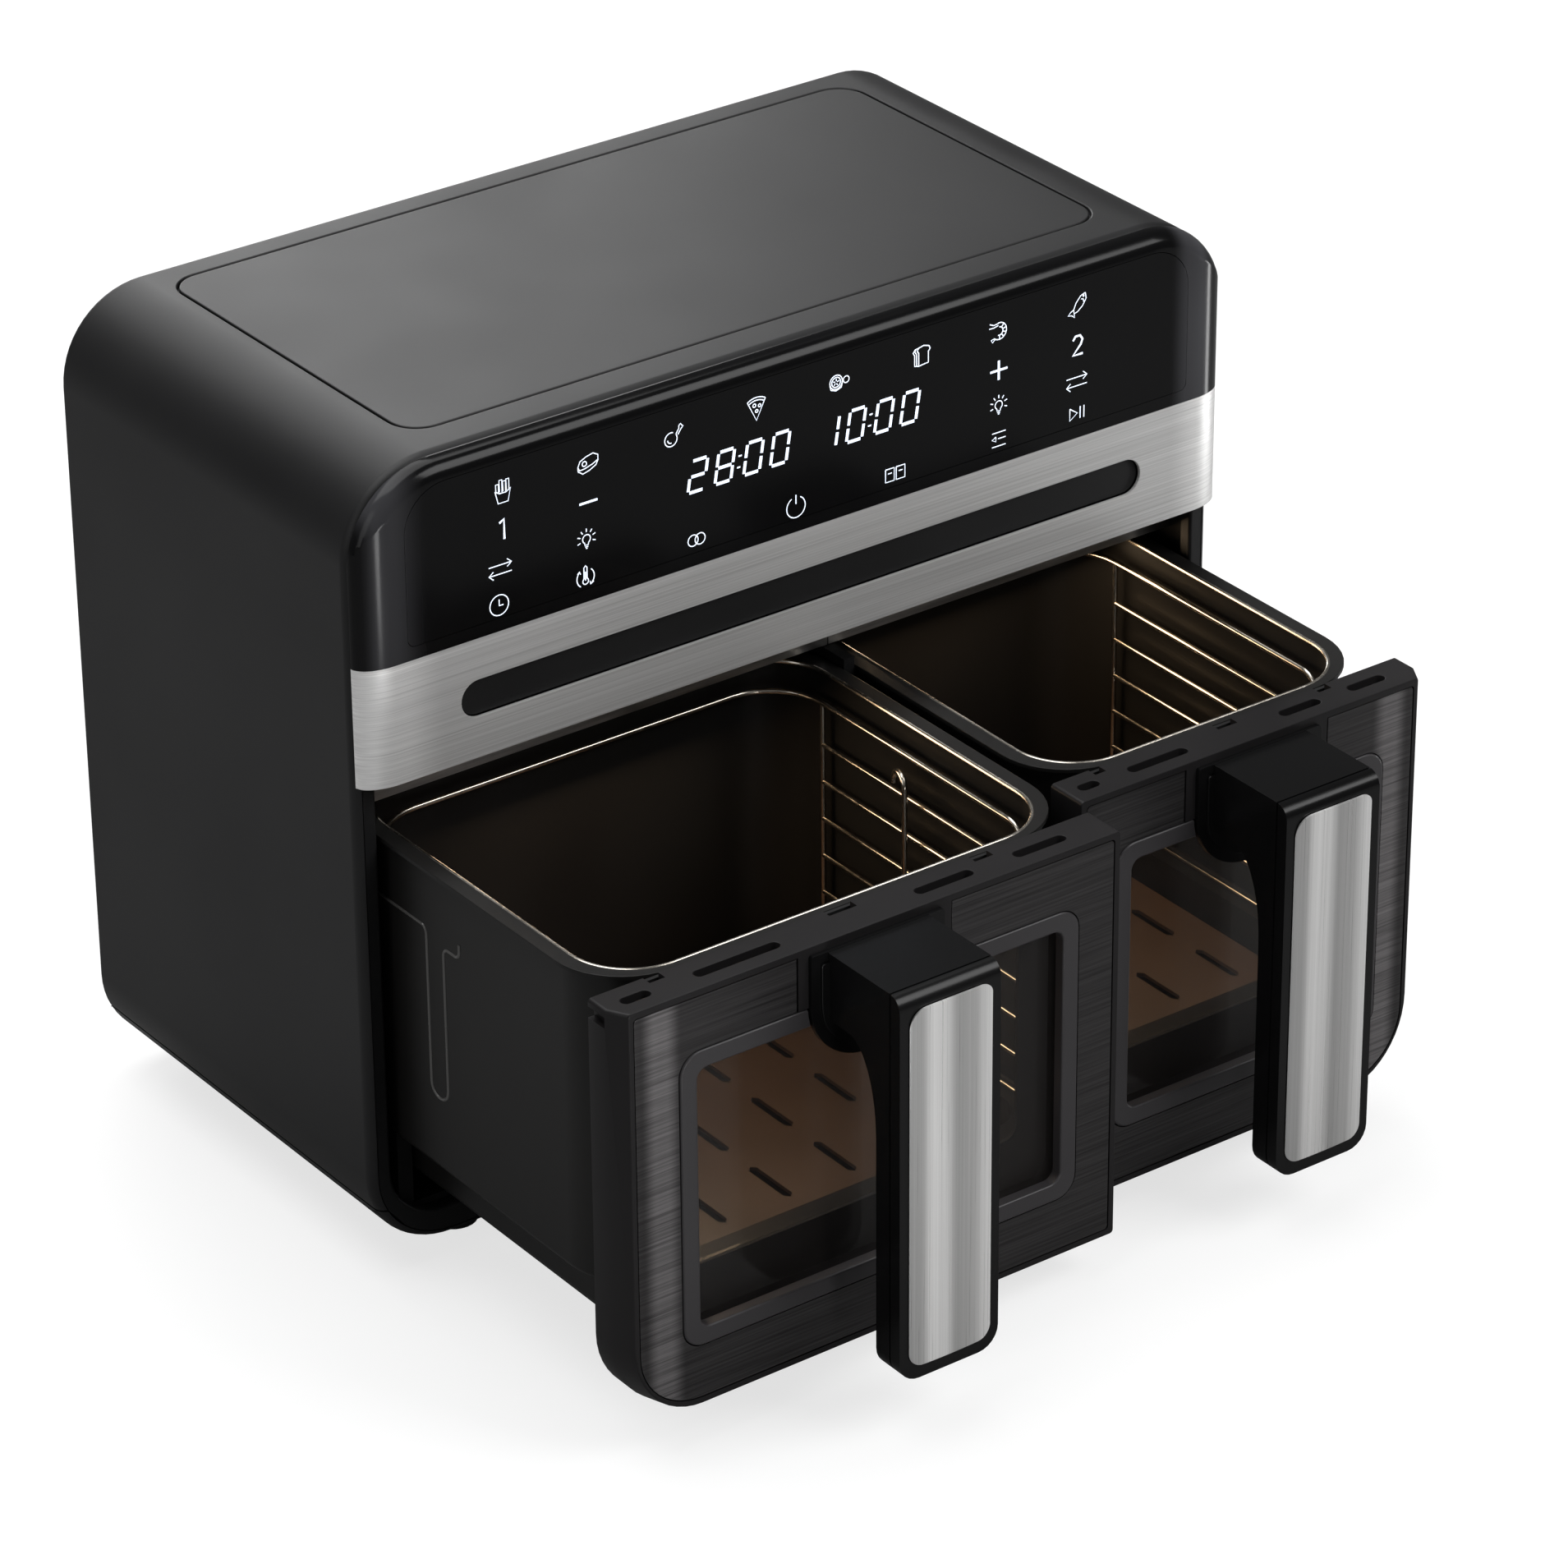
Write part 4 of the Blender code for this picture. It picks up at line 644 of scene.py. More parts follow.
def fishShape():
    body = [(0.75, 0.95), (0.85, 0.45), (0.5, -0.1), (0.0, -0.5), (-0.35, -0.6), (-0.4, -0.25), (-0.15, 0.3),
            (0.3, 0.8), (0.75, 0.95)]
    tail = [(-0.35, -0.6), (-0.3, -0.95), (-0.6, -0.7), (-0.95, -0.65), (-0.7, -0.4), (-0.4, -0.25)]
    return [body, tail, [(0.35, 0.5), (0.55, 0.45), (0.6, 0.2)], ring(0.58, 0.72, 0.06, steps=8)]


def lampMark():
    bulb = ring(0, 0.1, 0.36, -60, 240) + [(-0.16, -0.4), (0.16, -0.4), (0.18, -0.22)]
    rays = [[(r * math.cos(a), 0.1 + r * math.sin(a)) for r in (0.6, 0.88)] for a in
            [math.radians(d) for d in (-20, 20, 55, 90, 125, 160, 200)]]
    return [bulb, [(-0.14, -0.55), (0.14, -0.55)], [(-0.08, -0.68), (0.08, -0.68)]] + rays


def clockFace():
    return [ring(0, 0, 0.9), [(0, 0.5), (0, -0.05), (0.4, -0.05)]]


def heatDial():
    stem = [(-0.14, -0.2), (-0.14, 0.75), (0, 0.9), (0.14, 0.75), (0.14, -0.2)]
    return [stem, ring(0, -0.4, 0.26, -240, 60), [(0, -0.35), (0, 0.4)], ring(0, -0.1, 0.8, 130, 235),
            ring(0, -0.1, 0.8, -55, 50), [(-0.75, 0.35), (-0.55, 0.55), (-0.45, 0.3)],
            [(0.75, -0.6), (0.45, -0.78), (0.4, -0.5)]]


def powerMark():
    return [ring(0, -0.05, 0.85, 118, 422), [(0, 0.2), (0, 0.95)]]


def menuLines():
    return [[(-0.8, 0.7), (0.8, 0.7)], [(-0.1, 0.05), (0.8, 0.05)], [(-0.8, -0.7), (0.8, -0.7)],
            [(-0.35, 0.3), (-0.8, 0.05), (-0.35, -0.2), (-0.35, 0.3)]]


def shakeArrows():
    return [[(-0.9, 0.25), (-0.3, 0.25), (0.3, 0.25), (0.9, 0.25)], [(0.55, 0.55), (0.9, 0.25), (0.55, -0.02)],
            [(0.9, -0.4), (-0.9, -0.4)], [(-0.55, -0.12), (-0.9, -0.4), (-0.55, -0.7)]]


def linkedRings():
    return [ring(-0.35, 0, 0.5), ring(0.35, 0, 0.5)]


def twinBaskets():
    return [[(-0.95, 0.55), (-0.95, -0.55), (-0.1, -0.55), (-0.1, 0.55), (-0.95, 0.55)],
            [(0.1, 0.55), (0.1, -0.55), (0.95, -0.55), (0.95, 0.55), (0.1, 0.55)], [(-0.72, 0.15), (-0.33, 0.15)],
            [(0.33, 0.15), (0.72, 0.15)]]


def runPause():
    return [[(-0.75, 0.55), (-0.75, -0.55), (0.05, 0), (-0.75, 0.55)], [(0.35, 0.55), (0.35, -0.55)],
            [(0.75, 0.55), (0.75, -0.55)]]


segments = {"a": ((0, 1), (1, 1)), "b": ((1, 0.5), (1, 1)), "c": ((1, 0), (1, 0.5)), "d": ((0, 0), (1, 0)),
            "e": ((0, 0), (0, 0.5)), "f": ((0, 0.5), (0, 1)), "g": ((0, 0.5), (1, 0.5))}
litSegments = {"0": "abcdef", "1": "bc", "2": "abged", "8": "abcdefg"}


def digitLines(text, x, z):
    s = icons
    lines = []
    for digit in text:
        if digit == ":":
            x -= s["digitPitch"] - s["digitWide"]
            for level in (0.32, 0.68):
                at = x + s["digitWide"] * 0.42 + s["slant"] * level * s["digitTall"]
                lines.append([(at, z + s["digitTall"] * level - 0.0003), (at, z + s["digitTall"] * level + 0.0003)])
            x += s["digitPitch"] * 0.48
            continue
        for name in litSegments[digit]:
            ends = []
            start, end = (Vector(p) for p in segments[name])
            for here, there in ((start, end), (end, start)):
                pulled = here + (there - here).normalized() * (0.09 if name in "agd" else 0.05)
                ends.append((x + s["digitWide"] * pulled.x + s["slant"] * pulled.y * s["digitTall"],
                             z + s["digitTall"] * pulled.y))
            lines.append(ends)
        x += s["digitPitch"]
    return lines


def buildIcons():
    s = icons
    columns = (-0.1375, -0.1002, -0.0623, -0.0249, 0.0128, 0.0510, 0.0879, 0.1258)
    foods = (chips, steakCut, drumstick, pizzaSlice, biscuits, toastLoaf, prawn, fishShape)
    plan = [(draw, x, 0.3172, 1.0) for draw, x in zip(foods, columns)]
    plan += [(shakeArrows, -0.1396, 0.2868, 1.15), (lampMark, -0.1017, 0.2867, 1.0), (lampMark, 0.0882, 0.2860, 1.0),
             (shakeArrows, 0.1259, 0.2860, 1.15), (clockFace, -0.1405, 0.2722, 0.95), (heatDial, -0.1025, 0.2722, 1.0),
             (linkedRings, -0.0527, 0.2722, 0.95), (powerMark, -0.0072, 0.2722, 1.05),
             (twinBaskets, 0.0391, 0.2722, 1.0), (menuLines, 0.0884, 0.2722, 0.85), (runPause, 0.1262, 0.2722, 0.95)]
    thin = []
    for draw, x, z, size in plan:
        thin += [[(x + s["size"] * size * u, 0, z + s["size"] * size * v) for u, v in line] for line in draw()]
    digits = digitLines("28:00", -0.0563, 0.2920) + digitLines("10:00", 0.0040, 0.2915)
    signs = [[(-0.1045, 0.3018), (-0.0965, 0.3018)], [(0.0840, 0.3010), (0.0922, 0.3010)],
             [(0.0881, 0.2970), (0.0881, 0.3050)], [(-0.1394, 0.3048), (-0.1374, 0.3060), (-0.1374, 0.2980)],
             [(0.1238, 0.3030), (0.1250, 0.3046), (0.1272, 0.3046), (0.1284, 0.3028), (0.1276, 0.3008),
              (0.1238, 0.2968), (0.1286, 0.2968)]]
    bold, marks = [[[(x, 0, z) for x, z in line] for line in lines] for lines in (digits, signs)]
    parts = [addTube("thin", thin, s["line"], roundness=1), addTube("bold", bold, s["digitLine"], roundness=1),
             addTube("marks", marks, s["digitLine"] * 0.72, roundness=1)]
    lit = joinUp("lit", parts)
    # pressed flat, and laid on the panel
    low = min(v.co.y for v in lit.data.vertices)
    high = max(v.co.y for v in lit.data.vertices)
    selectParts(lit, "FACE", everywhere)
    bpy.ops.transform.resize(value=(1, s["proud"] / (high - low) * 1.6, 1), center_override=(0, 0, 0))
    bpy.ops.transform.translate(value=(0, headLow.y, 0))
    bpy.ops.object.mode_set(mode="OBJECT")
    finishPiece(lit, "litIcons", "housing", "litIcons")


buildIcons()
print("icons made")

# drawers, one after the other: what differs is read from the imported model
drawer = {"cornerOuter": 0.034, "corner": 0.0016, "border": 0.003, "outerBorder": 0.007, "fasciaGap": 0.0004,
          "fasciaThick": 0.0012, "chamferWide": 0.0046, "chamferDeep": 0.008, "edge": 0.0006, "topEdge": 0.0022,
          "slotWide": 0.0045, "slotDeep": 0.004, "windowCorner": 0.009, "trimWide": 0.0075, "windowDrop": 0.025,
          "trimEdge": 0.0009, "bracketLap": 0.006, "paneCorner": 0.006, "fit": 0.0003, "clipDeep": 0.0042,
          "clipTall": 0.0032,
          "lipTall": 0.003, "lipDeep": 0.010, "notchTall": 0.0045, "notchWide": 0.0026}
topSlots = ((0.035, 0.090), (0.175, 0.340), (0.610, 0.725), (0.810, 0.915))
clipHoles = ((0.105, 0.135), (0.455, 0.510), (0.748, 0.785))
boss = {"wide": 0.060, "drop": 0.050, "proud": 0.003, "ringWide": 0.0042, "ringDeep": 0.0011, "border": 0.0042,
        "outline": 0.0005, "lowRound": 0.85, "topCorner": 0.0012, "backInset": 0.004, "backStart": 0.0085}
grip = {"wide": 0.045, "thick": 0.014, "armTall": 0.0275, "armBend": 0.006, "flareDeep": 0.016, "flareTall": 0.036,
        "edge": 0.0046, "topCorner": 0.0075, "grooveAt": 0.0054, "grooveWide": 0.0007, "grooveDeep": 0.0008,
        "toe": 0.009}
insert = {"cornerLeft": 0.0075, "cornerRight": 0.005, "cornerLow": 0.006, "bulge": 0.00115}


def drawerFacts(side):
    low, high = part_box(f"{side}_drawer_frame")
    trimLow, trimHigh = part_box(f"{side}_window_frame")
    facts = {"side": side, "low": low, "high": high, "face": low.y, "back": high.y,
             "outer": -1 if side == "left" else 1, "middle": (low.x + high.x) / 2,
             "trimLow": trimLow, "trimHigh": trimHigh, "body": f"{side}_drawer"}
    facts["trimTop"] = high.z - drawer["windowDrop"]
    facts["outerX"] = low.x if side == "left" else high.x
    return facts


def frontBlock(d, inset, y0, y1, outer=None):
    # the drawer front's outline, with its one big corner
    outer = inset if outer is None else outer
    radii = [drawer["corner"]] * 4
    left = d["outer"] < 0
    radii[0 if left else 1] = drawer["cornerOuter"] - outer
    x0 = d["low"].x + (outer if left else inset)
    x1 = d["high"].x - (inset if left else outer)
    return roundBox("front", (x0, y0, d["low"].z + inset), (x1, y1, d["high"].z - inset), "Y", radii, 12)


def windowBlock(d, inset, y0, y1):
    # the window's outline; its top passes behind the handle's plate
    return roundBox("window", (d["trimLow"].x + inset, y0, d["trimLow"].z + inset), (d["trimHigh"].x - inset, y1,
                    d["trimTop"] - inset), "Y", drawer["windowCorner"] - inset * 0.6, 8)


def bossBlock(d, grow, y0, y1):
    half, corner = boss["wide"] / 2 + grow, boss["topCorner"]
    low = (d["middle"] - half, y0, d["high"].z - boss["drop"] - grow)
    high = (d["middle"] + half, y1, d["high"].z - drawer["border"] + grow)
    return roundBox("boss", low, high, "Y", [half * boss["lowRound"]] * 2 + [corner] * 2, 12)


def chamferOuterSide(d, shell):
    # the outer end of the front slopes back, round the big corner too
    s = drawer
    start = d["face"] + s["chamferDeep"]
    cutLevel(shell, (0, start, 0), (0, 1, 0))
    cutLevel(shell, (0, 0, d["low"].z + s["cornerOuter"]), (0, 0, 1))
    center = d["outerX"] - d["outer"] * s["cornerOuter"]
    factor = (s["cornerOuter"] - s["chamferWide"]) / s["cornerOuter"]
    stretchPoints(shell, lambda p: p.y < d["face"] + 1e-5 and (p.x - center) * d["outer"] > 1e-5, (factor, 1, 1),
                  (center, 0, 0))
    return shell


def sideNotch(d):
    # a slot under the lip at the top rear corner of the outer side
    s = drawer
    top = d["high"].z - s["lipTall"]
    x0, x1 = sorted((d["outerX"] - d["outer"] * s["notchWide"], d["outerX"] + d["outer"] * 0.01))
    return addBox("notch", (x0, d["back"] - s["lipDeep"], top - s["notchTall"]), (x1, d["back"] + past, top))


def buildDrawerFront(d):
    s = drawer
    face, back = d["face"], d["back"]
    shell = chamferOuterSide(d, frontBlock(d, 0, face, back))
    bevelEdges(shell, atPlace(y=face), s["edge"], 2)
    inner = d["outerX"] - d["outer"] * 0.005
    bevelEdges(shell, lambda a, b: all(abs(p.z - d["high"].z) < 1e-5 and (p.x - inner) * d["outer"] > 0
                                       for p in (a, b)), s["topEdge"], 3)
    cutAway(shell, windowBlock(d, -s["fit"], face - past, back + past))
    fuse(shell, bossBlock(d, -boss["backInset"], face + boss["backStart"], back))
    # the fascia's pocket stops short of the handle's plate, so a border of the frame stands round it
    pocket = frontBlock(d, s["border"] - s["fasciaGap"], face - past, face + s["fasciaThick"] + 0.0002,
                        s["outerBorder"] - s["fasciaGap"])
    cutAway(pocket, bossBlock(d, boss["border"], face - 0.02, face + past))
    cutAway(shell, pocket, sideNotch(d))
    span = d["high"].x - d["low"].x
    midY = (face + back) / 2
    holes = [roundBox("slot", (d["low"].x + span * a, midY - s["slotWide"] / 2, d["high"].z - s["slotDeep"]),
                      (d["low"].x + span * b, midY + s["slotWide"] / 2, d["high"].z + past), "Z",
                      s["slotWide"] * 0.499, 5) for a, b in topSlots]
    # clip pockets run out through the back edge
    holes += [addBox("clip", (d["low"].x + span * a, back - s["clipDeep"], d["high"].z - s["clipTall"]),
                     (d["low"].x + span * b, back + past, d["high"].z + past)) for a, b in clipHoles]
    cutAway(shell, *holes)
    top, slotHalf = d["high"].z, s["slotWide"] * 0.51
    bevelEdges(shell, lambda a, b: all(abs(p.z - top) < 1e-5 and abs(p.y - midY) < slotHalf for p in (a, b)), 0.0004, 2)
    bevelEdges(shell, lambda a, b: all(abs(p.z - top) < 1e-5 and abs(p.y - back + s["clipDeep"]) < 1e-4
                                       for p in (a, b)), 0.0005, 2)
    finishOn(d, shell, "DrawerFrame", "drawerCharcoal", "drawer_frame")


def buildFascia(d):
    s = drawer
    face = d["face"]
    plate = frontBlock(d, s["border"], face + 0.0001, face + s["fasciaThick"], s["outerBorder"])
    cutAway(plate, windowBlock(d, -s["fit"], face - past, face + 0.02),
            bossBlock(d, boss["border"] + boss["outline"], face - past, face + 0.02))
    bevelEdges(plate, atPlace(y=face + 0.0001), 0.0003, 2)
    finishOn(d, plate, "Fascia", f"fasciaSteel{d['side'].title()}", "fascia")


def buildWindow(d):
    s = drawer
    front, back = d["face"] - 0.0004, d["trimHigh"].y
    trim = windowBlock(d, 0, front, back)
    cutAway(trim, windowBlock(d, s["trimWide"], front - past, back + past))
    bevelEdges(trim, atPlace(y=front), s["trimEdge"], 3)
    cutAway(trim, bossBlock(d, 0.0003, d["face"] - past, d["face"] + 0.02))
    finishOn(d, trim, "WindowTrim", "windowTrim", "window_frame")
    for node, name in (("window_glass", "WindowGlass"), ("inner_glass", "InnerGlass")):
        paneLow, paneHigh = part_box(f"{d['side']}_{node}")
        pane = roundBox("pane", paneLow, paneHigh, "Y", s["paneCorner"], 6)
        softEdges(pane, 0.0004)
        finishOn(d, pane, name, "ovenGlass", node)
    # the plate behind the front closes the corners that the basket's rounding leaves open
    plateLow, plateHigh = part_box(f"{d['side']}_basket_bracket")
    lap = s["bracketLap"]
    plate = roundBox("plate", plateLow, plateHigh, "Y", s["paneCorner"], 6)
    cutAway(plate, roundBox("hole", (paneLow.x + lap, plateLow.y - past, paneLow.z + 0.001),
                            (paneHigh.x - lap, plateHigh.y + past, paneHigh.z - 0.001), "Y", s["paneCorner"], 6))
    finishOn(d, plate, "BasketBracket", "mattBlack", "basket_bracket")


def buildHandle(d):
    s = grip
    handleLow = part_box(f"{d['side']}_handle")[0]
    front, x0, x1 = handleLow.y, d["middle"] - s["wide"] / 2, d["middle"] + s["wide"] / 2
    insertLow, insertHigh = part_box(f"{d['side']}_handle_insert")
    low, high, back = handleLow.z, insertHigh.z + insertLow.z - handleLow.z, handleLow.y + s["thick"]
    armLow = high - s["armTall"]
    bar = addBox("bar", (x0, front, low), (x1, back, high))
    cutLevel(bar, (0, 0, armLow), (0, 0, 1))
    selectParts(bar, "FACE", lambda c, n: n.y > 0.9 and c.z > armLow)
    bpy.ops.mesh.extrude_region_move(TRANSFORM_OT_translate={"value": (0, d["face"] + 0.0006 - back, 0)})
    bpy.ops.object.mode_set(mode="OBJECT")
    # the arm's underside flares into the grip: bevelled round, then drawn down
    bevelEdges(bar, atPlace(y=back, z=armLow), s["flareDeep"], 12)
    stretchPoints(bar, lambda p: armLow - s["flareDeep"] * 1.01 < p.z < armLow - 1e-5 and p.y > back - 1e-5,
                  (1, 1, s["flareTall"] / s["flareDeep"]), (0, 0, armLow))
    bevelEdges(bar, atPlace(y=front, z=high), s["armBend"], 8)
    for x in (x0, x1):
        bevelEdges(bar, atPlace(x=x, z=low), s["toe"], 6)
    softEdges(bar, s["edge"], 5, 40)
    # a fine groove marks off the front rim, round its sides and over its top
    groove = addBox("groove", (x0 - past, front + s["grooveAt"], low - past),
                    (x1 + past, front + s["grooveAt"] + s["grooveWide"], high + past))
    deep = s["grooveDeep"]
    core = roundBox("core", (x0 + deep, front, low + deep), (x1 - deep, front + 0.02, high - deep), "Y",
                    [s["toe"], s["toe"], s["topCorner"], s["topCorner"]], 8)
    cutAway(bar, cutAway(groove, core))
    plate = bossBlock(d, -0.0003, d["face"] - boss["proud"], d["face"] + 0.0008)
    bevelEdges(plate, atPlace(y=d["face"] - boss["proud"]), 0.0009, 3)
    # the plate steps down outside the ring that follows its edge
    step = bossBlock(d, 0.01, d["face"] - boss["proud"] - past, d["face"] - boss["proud"] + boss["ringDeep"])
    cutAway(step, bossBlock(d, -boss["ringWide"], d["face"] - boss["proud"] - 0.02, d["face"]))
    cutAway(plate, step)
    bevelEdges(plate, atPlace(y=d["face"] - boss["proud"]), 0.0004, 2)
    fuse(bar, plate)
    finishOn(d, bar, "Handle", "handleBlack", "handle", 40)

    wide = insertHigh.x - insertLow.x
    run = wide / 2 * 0.999
    cover = addBox("cover", insertLow, (insertHigh.x, insertLow.y + run * 1.01, insertHigh.z))
    for x in (insertLow.x, insertHigh.x):
        bevelEdges(cover, atPlace(1e-6, x=x, y=insertLow.y), run, 16)
    stretchPoints(cover, everywhere, (1, insert["bulge"] / run, 1), (0, insertLow.y, 0))
    outline = roundBox("outline", (insertLow.x, insertLow.y - past, insertLow.z), (insertHigh.x, insertLow.y + past,
                       insertHigh.z), "Y", [insert["cornerLow"]] * 2 + [insert["cornerRight"], insert["cornerLeft"]], 8)
    keepInside(cover, outline)
    finishOn(d, cover, "HandleInsert", f"insertSteel{d['side'].title()}", "handle_insert", 50)


# baskets
basket = {"wall": 0.0016, "shoulder": 0.058, "floor": 0.036, "corner": 0.030, "wellCorner": 0.016, "wellInset": 0.010,
          "rimWide": 0.003, "flangeWide": 0.0038, "flangeThick": 0.0016, "rollRadius": 0.0009, "beadRadius": 0.0007,
          "shoulderBend": 0.0028, "floorBend": 0.005, "shoulderInside": 0.0014, "floorInside": 0.0036,
          "glassFit": 0.0003}


def trayBlock(low, high, inset, z0, z1, radius=None):
    r = basket["corner"] - inset if radius is None else radius
    return roundBox("tray", (low.x + inset, low.y + inset, z0), (high.x - inset, high.y - inset, z1), "Z", r, 10)


def markFaces(obj, index):
    for face in obj.data.polygons:
        face.material_index = index
    return obj


def buildBasket(d):
    s = basket
    boxLow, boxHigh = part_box(f"{d['side']}_basket")
    rim = s["rimWide"]
    low, high = Vector((boxLow.x + rim, boxLow.y, boxLow.z)), Vector((boxHigh.x - rim, boxHigh.y - rim, boxHigh.z))
    top, wall = high.z, s["wall"]
    tub = trayBlock(low, high, 0, s["shoulder"], top - 0.0004)
    fuse(tub, trayBlock(low, high, s["wellInset"], s["floor"], s["shoulder"] + 0.002, s["wellCorner"]))
    bevelEdges(tub, atPlace(z=s["shoulder"]), s["shoulderBend"], 4)
    bevelEdges(tub, atPlace(z=s["floor"]), s["floorBend"], 4)
    markFaces(tub, 0)
    hollow = trayBlock(low, high, wall, s["shoulder"] + wall, top + past)
    bevelEdges(hollow, atPlace(z=s["shoulder"] + wall), s["shoulderInside"], 3)
    well = trayBlock(low, high, s["wellInset"] + wall, s["floor"] + wall, s["shoulder"] + past, s["wellCorner"] - wall)
    bevelEdges(well, atPlace(z=s["floor"] + wall), s["floorInside"], 4)
    # the faces that the two cutters leave behind take the second finish
    cutAway(tub, markFaces(hollow, 1), markFaces(well, 1))
    paneLow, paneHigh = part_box(f"{d['side']}_inner_glass")
    fit = s["glassFit"]
    opening = roundBox("opening", (paneLow.x - fit, low.y - past, paneLow.z - fit),
                       (paneHigh.x + fit, paneLow.y + 0.005, paneHigh.z + fit), "Y", drawer["paneCorner"], 6)
    cutAway(tub, markFaces(opening, 0))
    # flat flange, lighter than the wall below it
    flange = roundBox("flange", (low.x - rim, low.y + 0.0002, top - s["flangeThick"]),
                      (high.x + rim, high.y + rim, top), "Z", s["corner"], 10)
    cutAway(flange, trayBlock(low, high, s["flangeWide"], top - 0.02, top + 0.02))
    bevelEdges(flange, atPlace(z=top), 0.0004, 2)
    markFaces(flange, 2)
    tub = joinUp("tub", [tub, flange])
    marks = [face.material_index for face in tub.data.polygons]
    finishOn(d, tub, "Basket", "basketCoat nonstick flangeCoat", "basket")
    for face, index in zip(tub.data.polygons, marks):
        face.material_index = index
    # bare rolled edge inside the flange
    r, roll = s["flangeWide"], s["rollRadius"]
    inner = roundLoop((low.x + r, low.y + r), (high.x - r, high.y - r), s["corner"] - r, 12)
    bare = addTube("bare", [[(x, y, top - roll * 0.7) for x, y in inner]], roll, True)
    finishOn(d, bare, "BasketEdge", "rimSteel")
    buildBead(d, low, high)


# the pressed line on the outer wall, as distances from the basket's front and heights
beadLine = {"backEnd": 0.172, "topRun": 0.1605, "firstDrop": 0.1175, "deepest": 0.090, "secondRise": 0.1065,
            "shortRun": 0.1565, "frontEnd": 0.096, "hookTop": 0.1625, "bend": 0.003}


def buildBead(d, low, high):
    b = beadLine
    outerX = low.x + 0.0002 if d["outer"] < 0 else high.x - 0.0002
    y = {key: low.y + b[key] for key in ("backEnd", "firstDrop", "secondRise", "frontEnd")}
    r, half = b["bend"], (y["firstDrop"] - y["secondRise"]) / 2
    path = [(y["backEnd"], b["topRun"])] + arc((y["firstDrop"] + r, b["topRun"] - r), r, 90, 180, 5)
    path += arc((y["firstDrop"] - half, b["deepest"] + half), half, 360, 180, 10)
    path += arc((y["secondRise"] - r, b["shortRun"] - r), r, 0, 90, 5)
    path += arc((y["frontEnd"] + r, b["shortRun"] + r), r, 270, 180, 5) + [(y["frontEnd"], b["hookTop"])]
    bead = addTube("bead", [[(outerX, across, up) for across, up in path]], basket["beadRadius"])
    # its lighter finish paints the highlight that the pressed line catches
    finishOn(d, bead, "BasketBead", "beadCoatPaintedHighlight")


rack = {"wire": 0.00125, "thin": 0.001, "wallGap": 0.0035, "top": 0.176, "rungs": 6, "turn": 0.010, "foot": 0.0612,
        "curl": 0.0048, "curlTurn": 0.25, "hookIn": 0.0054, "hookBack": 0.066, "hookFoot": 0.1277, "hookTop": 0.1655}


def buildRack(d):
    s = rack
    low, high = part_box(f"{d['side']}_wire_rack")
    x0, x1, y0, y1 = low.x + s["wire"], high.x - s["wire"], low.y + s["wire"], high.y - s["wire"]
    foot, top = s["foot"], s["top"]
    backRun = basket["corner"] - basket["wall"] - s["wallGap"]
    side = [(x0, y0, foot)] + [(x0, y, z) for y, z in arc((y0 + s["turn"], top - s["turn"]), s["turn"], 180, 90, 8)]
    side += [(x0 + backRun - backRun * math.cos(a), y1 - backRun + backRun * math.sin(a), top)
             for a in [math.radians(90 * i / 8) for i in range(9)]]
    around = side + [(x0 + x1 - x, y, z) for x, y, z in reversed(side)]
    pitch = (top - foot - s["turn"]) / (s["rungs"] + 0.5)
    end = y1 - backRun
    rungs, uprights = [], []
    for x in (x0, x1):
        uprights.append([(x, end, foot - s["wire"] * 0.6), (x, end, top)])
        rungs += [[(x, y0, foot + pitch * i), (x, end, foot + pitch * i)] for i in range(s["rungs"] + 1)]
    # a hooked post stands in from the inner ladder
    inner, into = (x1, -1) if d["outer"] < 0 else (x0, 1)
    post, curl, hookY = inner + into * s["hookIn"], s["curl"], y0 + s["hookBack"]
    hook = [(inner, hookY, s["hookFoot"]), (post, hookY, s["hookFoot"]), (post, hookY, s["hookTop"])]
    hook += [(post + into * s["curlTurn"] * (u - curl), hookY + curl - u, s["hookTop"] + v)
             for u, v in arc((0, 0), curl, 0, 200, 12)]
    pieces = [addTube("around", [around], s["wire"]), addTube("uprights", uprights, s["wire"] * 0.92),
              addTube("rungs", rungs, s["thin"]), addTube("hook", [hook], s["wire"])]
    whole = joinUp("rack", pieces)
    finishPiece(whole, f"{d['side']}WireRack", f"{d['side']}_rack", "wireSteel",
                [f"{d['side']}_wire_rack"], 60)


for side in ("left", "right"):
    facts = drawerFacts(side)
    buildDrawerFront(facts)
    buildFascia(facts)
    buildWindow(facts)
    buildHandle(facts)
    buildBasket(facts)
    buildRack(facts)
    print(side, "drawer made")

# pieces of the model that keep their shape and take a finish
kept = {
    "mattBlack": "bay_floor bay_divider left_cooling_fan right_cooling_fan left_drawer_switch right_drawer_switch "
                 "left_outer_runner left_inner_runner right_outer_runner right_inner_runner",
    "satinBlack": "rear_cover",
    "footRubber": "front_left_foot front_right_foot back_left_foot back_right_foot cord_gland",
    "plateSteel": "left_heat_chamber right_heat_chamber left_fan_shaft right_fan_shaft left_convection_fan "
                  "right_convection_fan",
    "wireSteel": "left_coil_guard right_coil_guard",
    "coilSheath": "left_heating_coil right_heating_coil",
    "motorCan": "left_fan_motor right_fan_motor",
    "boardGreen": "display_board power_board",
    "nonstick": "left_crisper_plate right_crisper_plate",
}
for look, names in kept.items():
    for name in names.split():
        slots = nodes[name].data.materials
        if len(slots):
            slots[0] = looks[look]
        else:
            slots.append(looks[look])
print("inner pieces finished")

